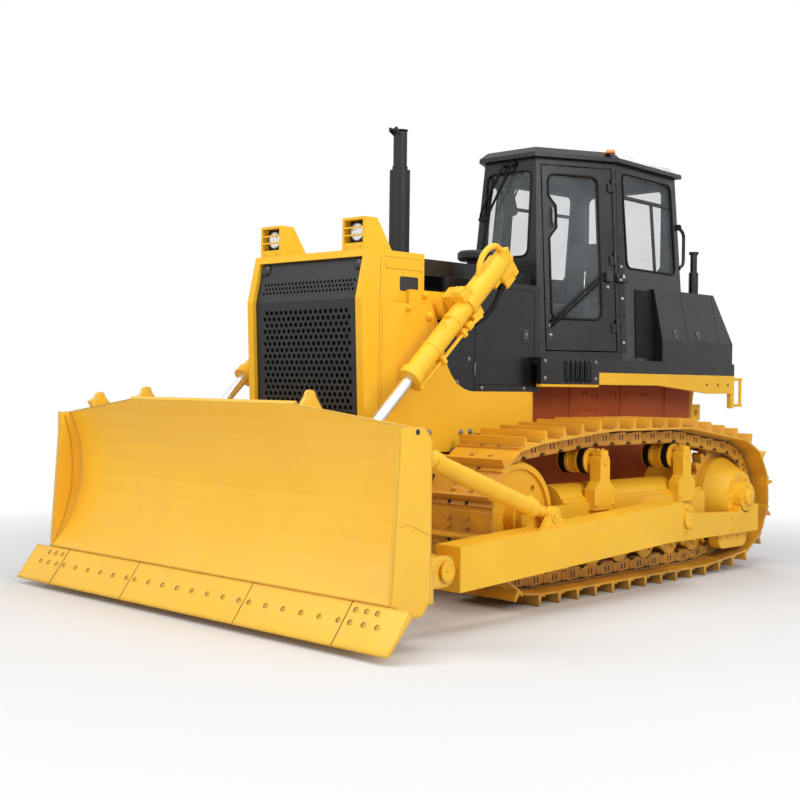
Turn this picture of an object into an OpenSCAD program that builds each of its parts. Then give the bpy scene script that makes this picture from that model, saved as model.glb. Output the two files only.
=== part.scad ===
/* [Tracks] */
// Distance between the two track centre lines
track_gauge = 2000; // [1960:5:2040]
// Width of one track shoe
shoe_w = 560; // [500:5:580]
// Number of shoes in one track
shoe_n = 38; // [36:1:40]
// Thickness of the shoe plate
shoe_t = 16; // [12:1:22]
// Height of the grouser bar above the shoe plate
grouser_h = 72; // [50:1:80]
// Height of a chain link from rail to shoe plate
link_h = 114; // [100:1:124]
// Distance from the sprocket axle to the idler axle
wheelbase = 2770; // [2700:5:2800]
// Height of the sprocket axle above the ground
sprocket_z = 597; // [585:1:610]
// Pitch radius of the sprocket
sprocket_r = 400; // [385:1:410]
// Teeth on a sprocket
sprocket_teeth = 23; // [21:2:25]
// Pitch radius of the chain on the idler
idler_r = 443; // [430:1:450]
// Radius of a track roller
roller_r = 108; // [95:1:110]
// Track rollers on a side
roller_n = 6; // [5:1:6]
// Radius of a carrier roller
carrier_r = 95; // [80:1:100]
// Height of the carrier roller axles
carrier_z = 948; // [935:1:955]

/* [Main frame] */
// Half width of the main frame tub
hull_half = 480; // [440:5:520]
// Clearance under the belly
belly_z = 405; // [380:5:440]
// Rear end of the main frame, behind the sprocket axle
hull_tail = 560; // [500:10:600]
// Half width across the engine side plates
flank_half = 640; // [620:5:660]

/* [Hood] */
// Half width of the hood and radiator guard
hood_half = 575; // [550:5:590]
// Height of the hood over the ground
hood_z = 2380; // [2340:5:2420]
// Front of the radiator guard at its brow
guard_x = 3775; // [3740:5:3800]
// Setback of the guard's top edge behind its brow
guard_rake = 75; // [40:5:100]
// Height of the guard's brow line
brow_z = 2050; // [2000:5:2100]
// Rear end of the yellow hood section
hood_split_x = 3165; // [3100:5:3220]
// Half width of the grille
grille_half = 516; // [480:2:520]

/* [Exhaust] */
// Place of the exhaust stack
stack_x = 2808; // [2700:4:2900]
// Radius of the muffler shell
muffler_r = 76; // [65:1:85]
// Height of the muffler shell top
muffler_z = 3062; // [3000:5:3100]
// Radius of the tail pipe
tailpipe_r = 51; // [45:1:55]
// Height of the tail pipe mouth
tailpipe_z = 3345; // [3300:5:3360]

/* [Deck] */
// Half width of the operator's deck
deck_half = 740; // [725:5:760]
// Height of the deck floor
deck_z = 1700; // [1690:2:1710]
// Rear end of the deck, behind the sprocket axle
deck_tail = 840; // [800:5:860]
// Front end of the deck
deck_nose = 2040; // [2000:5:2060]
// Depth of the yellow skirt rail
skirt_h = 95; // [80:5:110]

/* [Cab] */
// Foot of the cab's front wall
cab_front = 1598; // [1560:2:1610]
// Head of the cab's front wall
cab_front_top = 1502; // [1460:2:1540]
// Turn of the door wall from straight ahead
door_angle = 64.1; // [62:0.1:67]
// Distance of the door wall's foot from the sprocket axle
door_foot = 1031; // [1015:1:1040]
// Distance of the door wall's head from the sprocket axle
door_head = 888; // [870:1:905]
// Turn of the side wall from straight ahead
side_angle = 93.9; // [92:0.1:95]
// Distance of the side wall's foot from the centre line
side_foot = 641; // [630:1:645]
// Distance of the side wall's head from the centre line
side_head = 514; // [500:1:530]
// Rear wall of the cab, behind the sprocket axle
cab_tail = 175; // [165:1:190]
// Height of the cab walls' top
cab_z = 3310; // [3280:5:3320]
// Thickness of the cab walls
cab_wall = 50; // [40:1:60]
// Height of the roof's crown
roof_z = 3395; // [3380:5:3420]
// Overhang of the roof
roof_out = 45; // [30:1:60]
// Width of a door
door_w = 628; // [600:2:640]
// Height of a door
door_h = 1485; // [1440:5:1500]

/* [Blade] */
// Reach of an end bit past the blade's side plate
bit_out = 150.5; // [120:0.5:170]
// Distance from a push arm's middle to the blade's side plate
board_out = 282; // [240:2:300]
// Front tip of the cutting edge from the sprocket axle
blade_tip_x = 4844; // [4830:2:4860]
// Height of the cutting edge's tip above the ground
blade_tip_z = 46; // [40:1:60]
// Height of the blade's top edge
blade_top_z = 1360; // [1340:2:1380]
// Height of the blade's top edge at its corners
blade_corner_z = 1250; // [1230:2:1270]
// Half width of the level part of the top edge
blade_level_half = 835; // [800:5:900]
// Depth of the moldboard's hollow
hollow_depth = 215; // [190:1:230]
// Thickness of the moldboard plate
board_t = 30; // [24:1:36]

/* [Blade linkage] */
// Place of the push arm trunnion
trunnion_x = 1250; // [1220:5:1280]
// Height of the push arm trunnion
trunnion_z = 508; // [500:1:515]
// Clearance between a track shoe and the push arm beside it
arm_gap = 50; // [40:1:60]
// Width of a push arm
arm_w = 200; // [180:2:200]
// Height of a push arm
arm_h = 275; // [255:1:280]
// Front end of a push arm
arm_end_x = 3870; // [3840:5:3880]
// Height of a push arm's middle at its front end
arm_end_z = 380; // [370:1:390]
// Radius of the pitch brace tube
brace_r = 57; // [50:1:62]
// Place of the lift cylinder trunnion
ram_x = 3017; // [3000:2:3030]
// Height of the lift cylinder trunnion
ram_z = 2033; // [2020:1:2045]
// Distance of a lift cylinder from the centre line
ram_y = 830; // [810:2:850]
// Place of the lift eye on the blade
eye_x = 4200; // [4185:1:4210]
// Height of the lift eye on the blade
eye_z = 953; // [940:1:965]
// Outside radius of the lift cylinder barrel
barrel_r = 70; // [64:1:76]
// Barrel length above its trunnion
barrel_up = 451; // [430:1:470]
// Barrel length below its trunnion
barrel_down = 768; // [750:1:790]
// Radius of the lift cylinder rod
rod_r = 37.5; // [34:0.5:42]

/* [Hidden] */
$fn = 48;
// running clearance of pins in bores
fit = 0.05;
// clearance between moving panels
shut_gap = 9;
// seat clearance of panes and covers
seat_gap = 0.2;
// overrun of cuts
over = 3;
// block that stands for a half space
big = 6000;

track_y = track_gauge / 2;
arm_y = track_y + shoe_w / 2 + arm_gap + arm_w / 2;
board_w = (arm_y + board_out) * 2;
blade_w = board_w + bit_out * 2;
pin_z = grouser_h + shoe_t + link_h / 2;
idler_z = pin_z + idler_r;
rail_h = link_h / 2;
plate_h = rail_h + shoe_t;
tip_h = plate_h + grouser_h;
// running gap of rollers and idlers under the chain's rails
tread_gap = 0.5;
// room for the chain's links to bend over a carrier roller
carrier_gap = 8;
idler_gap = 1.2;
roller_z = pin_z + rail_h + roller_r + tread_gap;
roller_first = 530;
idler_back = 500;
roller_last = wheelbase - idler_back;
roller_step = (roller_last - roller_first) / (roller_n - 1);
carrier_first = 800;
carrier_back = 840;
carrier_x = [carrier_first, wheelbase - carrier_back];
carrier_pin_z = carrier_z + carrier_r + rail_h + carrier_gap;
tail_grab = 160;
tail_x = -deck_tail - tail_grab;
mid_x = (blade_tip_x + tail_x) / 2;

// share of the chain pitch and height over the pin line of each corner of a shoe
shoe_shares = [0.015, 0.05, 0.70, 0.755, 0.83, 0.885, 0.985];
lip_share = 0.55;
lip_h = rail_h + shoe_t * lip_share;
shoe_hs = [lip_h, plate_h, plate_h, tip_h, tip_h, plate_h, plate_h];
link_shares = [0.06, 0.16, 0.84, 0.94];
link_notch = 25;
link_hs = [link_notch - rail_h, -rail_h, -rail_h, link_notch - rail_h];
link_in = 70;
link_t = 42;
arc_steps = 24;

sprocket_c = [0, sprocket_z];
idler_c = [wheelbase, idler_z];
first_roll = [roller_first, pin_z];
rear_carry = [carrier_x[0], carrier_pin_z];
front_carry = [carrier_x[1], carrier_pin_z];

function on_ring(c, r, a) = [c[0] + r * cos(a), c[1] + r * sin(a)];
function reach_angle(c, r, p, side) =
    atan2(p[1] - c[1], p[0] - c[0]) + side * acos(r / norm(p - c));

low_a = reach_angle(sprocket_c, sprocket_r, first_roll, -1);
high_a = reach_angle(sprocket_c, sprocket_r, rear_carry, 1) - 360;
idler_a = reach_angle(idler_c, idler_r, front_carry, -1);

loop = concat(
    [first_roll],
    [for (i = [0 : arc_steps]) on_ring(sprocket_c, sprocket_r, low_a + (high_a - low_a) * i / arc_steps)],
    [rear_carry, front_carry],
    [for (i = [0 : arc_steps]) on_ring(idler_c, idler_r, idler_a + (-90 - idler_a) * i / arc_steps)]
);
loop_n = len(loop);
run = [for (i = 0, s = 0; i <= loop_n; s = s + norm(loop[(i + 1) % loop_n] - loop[i % loop_n]), i = i + 1) s];
loop_len = run[loop_n];
pitch = loop_len / shoe_n;

function leg(s) = max([for (i = [0 : loop_n - 1]) if (run[i] <= s) i]);
function unit(v) = v / norm(v);
function along(s) = loop[leg(s)] + unit(loop[(leg(s) + 1) % loop_n] - loop[leg(s)]) * (s - run[leg(s)]);

pins = [for (k = [0 : shoe_n - 1]) along(k * pitch)];
function link_dir(k) = unit(pins[(k + 1) % shoe_n] - pins[k % shoe_n]);
function out_dir(k) = [-link_dir(k)[1], link_dir(k)[0]];
function on_link(k, share, h) = pins[k] + link_dir(k) * pitch * share + out_dir(k) * h;
function bend_dir(k) = unit(out_dir(k) + out_dir((k + shoe_n - 1) % shoe_n));
function on_pin(k, h) = pins[k] + bend_dir(k) * h / (bend_dir(k) * out_dir(k));

function closed(a, b) = [[for (i = [0 : a - 1]) i], [for (i = [0 : b - 1]) a + i]];

// a flat outline in the side plane, spread evenly about its own middle
module spread(w) {
    rotate([90, 0, 0])
        linear_extrude(height = w, center = true)
            children();
}

module both_sides() {
    children();
    mirror([0, 1, 0])
        children();
}

module box(x0, x1, y0, y1, z0, z1) {
    translate([x0, y0, z0])
        cube([x1 - x0, y1 - y0, z1 - z0]);
}

module bar_y(x, z, r, y0, y1) {
    translate([x, y1, z])
        rotate([90, 0, 0])
            cylinder(h = y1 - y0, r = r);
}

module track() {
    outer = [for (k = [0 : shoe_n - 1]) for (i = [0 : len(shoe_hs) - 1]) on_link(k, shoe_shares[i], shoe_hs[i])];
    inner = [for (k = [0 : shoe_n - 1]) on_pin(k, rail_h)];
    top = [for (k = [0 : shoe_n - 1]) on_pin(k, rail_h + shoe_t / 4)];
    rail = [for (k = [0 : shoe_n - 1]) for (i = [0 : len(link_hs) - 1]) on_link(k, link_shares[i], link_hs[i])];
    translate([0, track_y, 0]) {
        spread(shoe_w)
            polygon(concat(outer, inner), closed(len(outer), len(inner)));
        for (s = [-1, 1])
            translate([0, s * (link_in + link_t / 2), 0])
                spread(link_t)
                    polygon(concat(top, rail), closed(len(top), len(rail)));
    }
}

module track_left() {
    color("goldenrod")
        track();
}

module track_right() {
    color("goldenrod")
        mirror([0, 1, 0])
            track();
}

tooth_tip = 24;
tooth_root = 34;
tooth_shares = [0.12, 0.38, 0.62, 0.88];
sprocket_rim = 84;

module sprocket() {
    a = 360 / sprocket_teeth;
    rs = [sprocket_r - tooth_root, sprocket_r + tooth_tip, sprocket_r + tooth_tip, sprocket_r - tooth_root];
    translate([0, track_y, sprocket_z])
        spread(sprocket_rim)
            polygon([for (k = [0 : sprocket_teeth - 1]) for (i = [0 : len(rs) - 1])
                on_ring([0, 0], rs[i], a * (k + tooth_shares[i]))]);
}

module sprockets() {
    color("goldenrod")
        both_sides()
            sprocket();
}

idler_tread = sqrt(idler_r * idler_r - pitch * pitch / 4) - rail_h - idler_gap;
idler_half = 114;
idler_flange = 20;
idler_flange_half = 58;
idler_web_half = 92;
idler_web_in = 62;
idler_rim_t = 40;
idler_hub_r = 110;
idler_axle_half = 150;
idler_hole_r = 20;
idler_hole_share = 0.72;
idler_holes = 4;

module idler() {
    translate([wheelbase, track_y, idler_z])
        rotate([90, 0, 0])
            difference() {
                rotate_extrude($fn = 72)
                    polygon([
                        [0, -idler_axle_half],
                        [idler_hub_r, -idler_axle_half],
                        [idler_hub_r, -idler_web_in],
                        [idler_tread - idler_rim_t, -idler_web_half],
                        [idler_tread - idler_rim_t, -idler_half],
                        [idler_tread, -idler_half],
                        [idler_tread, -idler_flange_half],
                        [idler_tread + idler_flange, -idler_flange_half],
                        [idler_tread + idler_flange, idler_flange_half],
                        [idler_tread, idler_flange_half],
                        [idler_tread, idler_half],
                        [idler_tread - idler_rim_t, idler_half],
                        [idler_tread - idler_rim_t, idler_web_half],
                        [idler_hub_r, idler_web_in],
                        [idler_hub_r, idler_axle_half],
                        [0, idler_axle_half]
                    ]);
                for (k = [0 : idler_holes - 1])
                    rotate([0, 0, 360 * (k + 1 / 2) / idler_holes])
                        translate([idler_tread * idler_hole_share, 0, -idler_half - over])
                            cylinder(h = (idler_half + over) * 2, r = idler_hole_r, $fn = 24);
            }
}

module idlers() {
    color("goldenrod")
        both_sides()
            idler();
}

roller_half = 118;
roller_flange = 16;
roller_flange_t = 20;
roller_axle_r = 45;
roller_axle_half = 165;

module track_roller() {
    bar_y(0, 0, roller_r, -roller_half, roller_half);
    for (s = [-1, 1])
        bar_y(0, 0, roller_r + roller_flange,
            s * (roller_half + roller_flange_t / 2) - roller_flange_t / 2,
            s * (roller_half + roller_flange_t / 2) + roller_flange_t / 2);
    bar_y(0, 0, roller_axle_r, -roller_axle_half, roller_axle_half);
}

module track_rollers() {
    color("darkgoldenrod")
        both_sides()
            for (i = [0 : roller_n - 1])
                translate([roller_first + i * roller_step, track_y, roller_z])
                    track_roller();
}

post_y = 150;
post_w = 90;
post_foot = 250;
post_l = 120;
post_shoulder = 140;
post_taper = 60;
carrier_rim_t = 30;
carrier_groove = 12;
carrier_axle_r = 40;
carrier_boss_r = 58;

module carrier_roller() {
    end = post_y - carrier_rim_t;
    rotate([90, 0, 0])
        rotate_extrude($fn = 48)
            polygon([
                [0, -post_y],
                [carrier_axle_r, -post_y],
                [carrier_axle_r, -end],
                [carrier_r, -end],
                [carrier_r, -carrier_rim_t],
                [carrier_r - carrier_groove, -carrier_rim_t],
                [carrier_r - carrier_groove, carrier_rim_t],
                [carrier_r, carrier_rim_t],
                [carrier_r, end],
                [carrier_axle_r, end],
                [0, end]
            ]);
}

module carrier_rollers() {
    color("darkgoldenrod")
        both_sides()
            for (x = carrier_x)
                translate([x, track_y, carrier_z])
                    carrier_roller();
}

beam_x0 = 440;
beam_back = 440;
beam_x1 = wheelbase - beam_back;
beam_half = 160;
beam_gap = 8;
beam_z0 = roller_z + roller_r + roller_flange + beam_gap;
beam_z1 = 690;
spring_z = 625;
spring_r = 158;
spring_x0 = 700;
guard_t = 25;
guard_rise = 40;
guard_z0 = roller_z - roller_r + guard_rise;
guard_notch = 95;
yoke_t = 50;
yoke_h = 130;
yoke_cap_r = 88;
trunnion_r = 60;
trunnion_w = 200;
trunnion_h = 190;
tail_bar_z0 = 309;
tail_bar_z1 = 480;
tail_bar_rise = 50;
tail_bar_t = 60;
tail_bar_end = 200;
arm_clear = 8;
rock_x0 = -120;
rock_x1 = 340;
rock_z0 = 185;
rock_t = 90;
rock_r = 80;
tail_bar_y = arm_y - arm_w / 2 - arm_clear;
shank_gap = roller_axle_half + guard_t;
shank_y = track_y + roller_axle_half;
cradle_x0 = 480;
cradle_x1 = 760;

// side plate of the roller frame, with its lower edge cut in a row of vees
module roller_guard() {
    n = roller_n * 2;
    step = (beam_x1 - beam_x0) / n;
    polygon(concat(
        [[beam_x1, guard_z0], [beam_x1, beam_z1 - guard_t], [beam_x0, beam_z1 - guard_t]],
        [for (i = [0 : n - 1]) for (p = [[0, guard_z0], [1 / 2, guard_z0 + guard_notch]])
            [beam_x0 + step * (i + p[0]), p[1]]]
    ));
}

module carrier_post(x) {
    low_z = beam_z1 - post_w;
    knee_z = carrier_z - post_shoulder;
    translate([0, track_y + post_y + post_w / 2, 0])
        spread(post_w)
            polygon([
                [x - post_foot / 2, low_z],
                [x + post_foot / 2, low_z],
                [x + post_foot / 2, knee_z - post_taper],
                [x + post_l / 2, knee_z],
                [x + post_l / 2, carrier_z],
                [x - post_l / 2, carrier_z],
                [x - post_l / 2, knee_z],
                [x - post_foot / 2, knee_z - post_taper]
            ]);
    bar_y(x, carrier_z, carrier_boss_r + seat_gap, track_y + post_y, track_y + post_y + post_w);
}

// bar behind the trunnion, with a seat for the hub of the final drive at its raised end
module tail_bar() {
    difference() {
        polygon([
            [-tail_bar_end, tail_bar_z0],
            [trunnion_x, tail_bar_z0],
            [trunnion_x, tail_bar_z1 + tail_bar_rise],
            [drive_hub_r, tail_bar_z1],
            [drive_hub_r, tail_bar_z1 + tail_bar_rise],
            [-tail_bar_end, tail_bar_z1 + tail_bar_rise]
        ]);
        translate([0, sprocket_z])
            circle(r = drive_hub_r + shut_gap);
    }
}

// guard that keeps stones off the sprocket, below the tail bar
module rock_guard() {
    translate([rock_x0, tail_bar_y - tail_bar_t - rock_t / 2, 0])
        spread(rock_t)
            difference() {
                union() {
                    translate([rock_r, rock_z0])
                        square([rock_x1 - rock_x0 - rock_r * 2, tail_bar_z0 + rock_r - rock_z0]);
                    translate([0, rock_z0 + rock_r])
                        square([rock_x1 - rock_x0, tail_bar_z0 - rock_z0]);
                    for (x = [rock_r, rock_x1 - rock_x0 - rock_r])
                        translate([x, rock_z0 + rock_r])
                            circle(r = rock_r);
                }
                translate([-rock_x0, sprocket_z])
                    circle(r = drive_r - drive_lip + shut_gap);
            }
}

module track_frame() {
    shoulder = shank_y - track_y - beam_half;
    box(beam_x0, beam_x1, track_y - beam_half, track_y + beam_half, beam_z0, beam_z1);
    intersection() {
        translate([spring_x0, track_y, spring_z])
            rotate([0, 90, 0])
                cylinder(h = beam_x1 - spring_x0, r = spring_r);
        box(spring_x0, beam_x1, track_y - beam_half, track_y + beam_half, beam_z0, hood_z);
    }
    for (s = [-1, 1]) {
        translate([0, track_y + s * (shank_y - track_y + guard_t / 2), 0])
            spread(guard_t)
                roller_guard();
        translate([0, track_y + s * (beam_half + shoulder / 2), 0])
            box(beam_x0, beam_x1, -shoulder / 2 - over, shoulder / 2 + over, beam_z0, beam_z1 - guard_t);
        translate([0, track_y + s * (idler_axle_half + yoke_t / 2), 0]) {
            box(beam_x1 - over, wheelbase, -yoke_t / 2, yoke_t / 2, idler_z - yoke_h / 2, idler_z + yoke_h / 2);
            bar_y(wheelbase, idler_z, yoke_cap_r, -yoke_t / 2, yoke_t / 2);
        }
    }
    for (x = carrier_x)
        carrier_post(x);
    box(trunnion_x - trunnion_w / 2, trunnion_x + trunnion_w / 2, track_y + beam_half - over, tail_bar_y,
        trunnion_z - trunnion_h / 2, trunnion_z + trunnion_h / 2);
    bar_y(trunnion_x, trunnion_z, trunnion_r, tail_bar_y - over, arm_y + arm_w / 2);
    translate([0, tail_bar_y - tail_bar_t / 2, 0])
        spread(tail_bar_t)
            tail_bar();
    rock_guard();
    box(cradle_x0, cradle_x1, hull_half, track_y - beam_half + over, beam_z0, beam_z1 - post_w);
}

module track_frames() {
    color("goldenrod")
        both_sides()
            track_frame();
}

drive_r = 310;
drive_lip = 48;
drive_neck_r = 205;
drive_cap_y = tail_bar_y - tail_bar_t;
drive_hub_r = 118;
drive_hub_out = 70;
drive_case_r = 250;

module final_drive() {
    drum_y = track_y + sprocket_rim / 2;
    translate([0, 0, sprocket_z])
        rotate([-90, 0, 0])
            rotate_extrude($fn = 64)
                polygon([
                    [0, drum_y],
                    [drive_r, drum_y],
                    [drive_r, drum_y + drive_lip],
                    [drive_neck_r, drive_cap_y],
                    [drive_hub_r, drive_cap_y],
                    [drive_hub_r, drive_cap_y + drive_hub_out],
                    [0, drive_cap_y + drive_hub_out]
                ]);
    translate([0, hull_half, sprocket_z])
        rotate([-90, 0, 0])
            cylinder(h = track_y - sprocket_rim / 2 - hull_half, r = drive_case_r);
}

module final_drives() {
    color("goldenrod")
        both_sides()
            final_drive();
}

bar_back = 150;
bar_x = beam_x1 - bar_back;
bar_half = 70;
bar_z0 = 470;
bar_z1 = 590;

module equalizer_bar() {
    color("goldenrod")
        both_sides()
            box(bar_x - bar_half, bar_x + bar_half, hull_half, track_y - shank_gap, bar_z0, bar_z1);
}

core_gap = 175;
core_t = 160;
core_x1 = guard_x - core_gap;
core_x0 = core_x1 - core_t;
nose_lip = 40;
hull_nose = core_x0 + nose_lip;
tub_z = 1020;
case_x1 = 2000;
deck_t = 60;
case_z = deck_z - deck_t;
gusset_drop = 310;
gusset_t = 60;
lug_x0 = -700;
lug_x1 = -520;
lug_w0 = 120;
lug_z0 = 1190;
lug_z1 = 1335;
lug_hole_r = 30;
sump_rise = 180;
sump_run = 420;

// bracket under the deck's tail, with a hollow curve
module deck_gusset() {
    difference() {
        translate([-deck_tail, case_z - gusset_drop])
            square([deck_tail - hull_tail, gusset_drop]);
        translate([-deck_tail, case_z - gusset_drop])
            scale([(deck_tail - hull_tail) / gusset_drop, 1])
                circle(r = gusset_drop - shut_gap);
    }
}

module tail_lug() {
    difference() {
        box(lug_x0, lug_x1, hull_half - lug_w0, hull_half, lug_z0, lug_z1);
        bar_y((lug_x0 - hull_tail) / 2, (lug_z0 + lug_z1) / 2, lug_hole_r, 0, hull_half + over);
    }
}

module main_frame() {
    color("goldenrod") {
        spread(hull_half * 2)
            polygon([
                [-hull_tail, belly_z + sump_rise],
                [-hull_tail + sump_run, belly_z],
                [hull_nose - sump_run, belly_z],
                [hull_nose, belly_z + sump_rise],
                [hull_nose, tub_z],
                [case_x1, tub_z],
                [case_x1, case_z],
                [-hull_tail, case_z]
            ]);
        both_sides() {
            translate([0, hull_half - gusset_t / 2, 0])
                spread(gusset_t)
                    deck_gusset();
            tail_lug();
        }
    }
}

engine_gap = 120;
fan_gap = 160;
engine_x0 = case_x1 + engine_gap;
engine_x1 = core_x0 - fan_gap;
engine_half = 380;
engine_z1 = 2180;

module engine_block() {
    color("dimgray")
        box(engine_x0, engine_x1, -engine_half, engine_half, tub_z, engine_z1);
}

core_half = 490;
core_z1 = 2290;

module radiator_core() {
    color("dimgray")
        box(core_x0, core_x1, -core_half, core_half, tub_z, core_z1);
}

guard_wall = 30;
guard_foot_z = 1060;
guard_lean = 45;
guard_low_x = guard_x - guard_lean;
guard_top_x = guard_x - guard_rake;
guard_depth = 160;
grille_t = 24;
grille_z0 = 1180;
grille_z1 = 2330;
hole_pitch = 50;
hole_r = 18.5;
grille_strips = 9;
strip_row = hole_pitch * sin(60);
strip_lap = 1;
mesh_z0 = 1216;
mesh_edge = 24;
vent_pitch = 36;
vent_r = 12;
vent_rise = 36;
vent_rows = 3;
mesh_lean = atan2(guard_lean, brow_z - guard_foot_z);
brow_lean = -atan2(guard_rake, hood_z - brow_z);

function guard_line(z) = z > brow_z
    ? guard_x - guard_rake * (z - brow_z) / (hood_z - brow_z)
    : guard_x - (guard_x - guard_low_x) * (brow_z - z) / (brow_z - guard_foot_z);

module guard_outline(back) {
    polygon([
        [back, guard_foot_z],
        [guard_low_x, guard_foot_z],
        [guard_x, brow_z],
        [guard_top_x, hood_z],
        [back, hood_z]
    ]);
}

module grille_outline(d0, d1) {
    polygon([
        [guard_line(grille_z0) - d0, grille_z0],
        [guard_x - d0, brow_z],
        [guard_line(grille_z1) - d0, grille_z1],
        [guard_line(grille_z1) - d1, grille_z1],
        [guard_x - d1, brow_z],
        [guard_line(grille_z0) - d1, grille_z0]
    ]);
}

module radiator_guard() {
    color("gold")
        difference() {
            spread(hood_half * 2)
                guard_outline(hood_split_x);
            box(hood_split_x - over, guard_x - guard_depth, -hood_half + guard_wall, hood_half - guard_wall,
                guard_foot_z - over, hood_z - guard_wall);
            spread(grille_half * 2)
                grille_outline(-guard_depth, guard_depth * 2);
        }
}

// a flat strip with staggered rows of six-sided holes, standing on its lower edge
module pierced_strip(w, h, step, r, rows, first) {
    row = step * sin(60);
    n = floor((w - step) / step / 2) * 2;
    x0 = -step * (n - 1) / 2;
    centres = [for (j = [0 : rows - 1])
        for (i = [0 : n - 1 - j % 2]) [x0 + step * (i + j % 2 / 2), first + row * j]];
    holes = [for (c = centres) for (k = [0 : 5]) on_ring(c, r, 60 * k + 30)];
    rotate([90, 0, 90])
        linear_extrude(height = grille_t)
            polygon(
                concat([[-w / 2, 0], [w / 2, 0], [w / 2, h], [-w / 2, h]], holes),
                concat([[0, 1, 2, 3]], [for (k = [0 : len(centres) - 1]) [for (i = [0 : 5]) 4 + k * 6 + i]])
            );
}

module grille() {
    mesh_w = (grille_half - mesh_edge) * 2;
    mesh_h = strip_row * 2 * grille_strips;
    vent_h = vent_pitch * sin(60) * (vent_rows - 1) + vent_r * 4;
    color("dimgray") {
        difference() {
            spread(grille_half * 2 - seat_gap * 2)
                grille_outline(guard_wall, guard_wall + grille_t);
            translate([guard_line(mesh_z0) - guard_wall - grille_t, 0, mesh_z0])
                rotate([0, mesh_lean, 0])
                    box(-grille_t, grille_t * 2, -mesh_w / 2, mesh_w / 2, 0, mesh_h);
            translate([guard_x - guard_wall - grille_t, 0, brow_z])
                rotate([0, brow_lean, 0])
                    box(-grille_t, grille_t * 2, -mesh_w / 2, mesh_w / 2, vent_rise, vent_rise + vent_h);
        }
        translate([guard_line(mesh_z0) - guard_wall - grille_t, 0, mesh_z0])
            rotate([0, mesh_lean, 0])
                for (k = [0 : grille_strips - 1])
                    translate([0, 0, strip_row * 2 * k - strip_lap])
                        pierced_strip(mesh_w + strip_lap * 2, strip_row * 2 + strip_lap * 2, hole_pitch, hole_r, 2,
                            strip_row / 2 + strip_lap);
        translate([guard_x - guard_wall - grille_t, 0, brow_z])
            rotate([0, brow_lean, 0])
                translate([0, 0, vent_rise - strip_lap])
                    pierced_strip(mesh_w + strip_lap * 2, vent_h + strip_lap * 2, vent_pitch, vent_r, vent_rows,
                        vent_r * 2 + strip_lap);
    }
}

hood_rear_x = 1640;
hood_taper_x = 2420;
hood_tail_half = 330;
hood_sheet = 20;
hood_drop = 30;
hood_lip_z = 2235;

// plan of the rear hood, which narrows towards the cab
module hood_plan(inset, run) {
    for (e = [-1, 1])
        polygon([
            [hood_split_x + run, 0],
            [hood_split_x + run, e * (hood_half - inset)],
            [hood_taper_x, e * (hood_half - inset)],
            [hood_rear_x - run, e * (hood_tail_half - inset)],
            [hood_rear_x - run, 0]
        ]);
}

module hood_rear() {
    color("dimgray")
        difference() {
            translate([0, 0, hood_lip_z])
                linear_extrude(hood_z - hood_drop - hood_lip_z)
                    hood_plan(0, 0);
            translate([0, 0, hood_lip_z - over])
                linear_extrude(hood_z - hood_drop - hood_sheet - hood_lip_z + over)
                    hood_plan(hood_sheet, over);
        }
}

flank_t = 30;
flank_z0 = 1020;
flank_knee_z = 1140;
flank_x0 = 2005;
flank_x1 = 3505;
flank_soft = 70;
flank_top_z = 2030;
flank_turn_x = 3150;
panel_z0 = 1440;
panel_x0 = 1925;
panel_x1 = 2690;
panel_top_z = hood_lip_z;
ledge_z = hood_lip_z - seat_gap;
panel_round_r = 330;

module flank_outline() {
    difference() {
        polygon([
            [flank_x0, flank_knee_z],
            [panel_x1, flank_knee_z],
            [panel_x1 + panel_round_r / 2, flank_z0],
            [flank_x1, flank_z0],
            [flank_x1, flank_top_z],
            [flank_turn_x, flank_top_z],
            [panel_x1 + panel_round_r, panel_z0 + panel_round_r],
            [panel_x1, panel_z0],
            [flank_x0, panel_z0]
        ]);
        translate([panel_x1, panel_z0 + panel_round_r])
            circle(r = panel_round_r);
        translate([ram_x, ram_z])
            circle(r = boss_r + shut_gap);
    }
}

module side_plates() {
    color("gold")
        both_sides() {
            translate([0, flank_half - flank_t / 2, 0])
                spread(flank_t)
                    flank_outline();
            box(flank_x0, flank_x0 + flank_t, hull_half, flank_half - flank_t, flank_knee_z, panel_z0);
            translate([0, 0, guard_foot_z])
                linear_extrude(flank_top_z - guard_foot_z)
                    polygon([
                        [flank_x1 - flank_t, hood_half],
                        [flank_x1 + flank_soft, hood_half],
                        [flank_x1, flank_half],
                        [flank_x1 - flank_t, flank_half]
                    ]);
            box(hull_nose - sump_run, core_x0 - shut_gap, hull_half, flank_half - flank_t, flank_z0 - flank_t,
                flank_z0 + flank_t);
        }
}

module panel_outline() {
    polygon([
        [panel_x0, panel_z0],
        [panel_x1, panel_z0],
        [panel_x1, panel_top_z],
        [panel_x0, panel_top_z]
    ]);
    intersection() {
        translate([panel_x1, panel_z0 + panel_round_r])
            circle(r = panel_round_r - seat_gap);
        translate([panel_x1 - over, panel_z0])
            square([panel_round_r + over, panel_round_r]);
    }
    translate([panel_x1 - over, panel_z0 + panel_round_r - over])
        square([panel_round_r + over - seat_gap, panel_top_z - panel_z0 - panel_round_r + over]);
}

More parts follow.
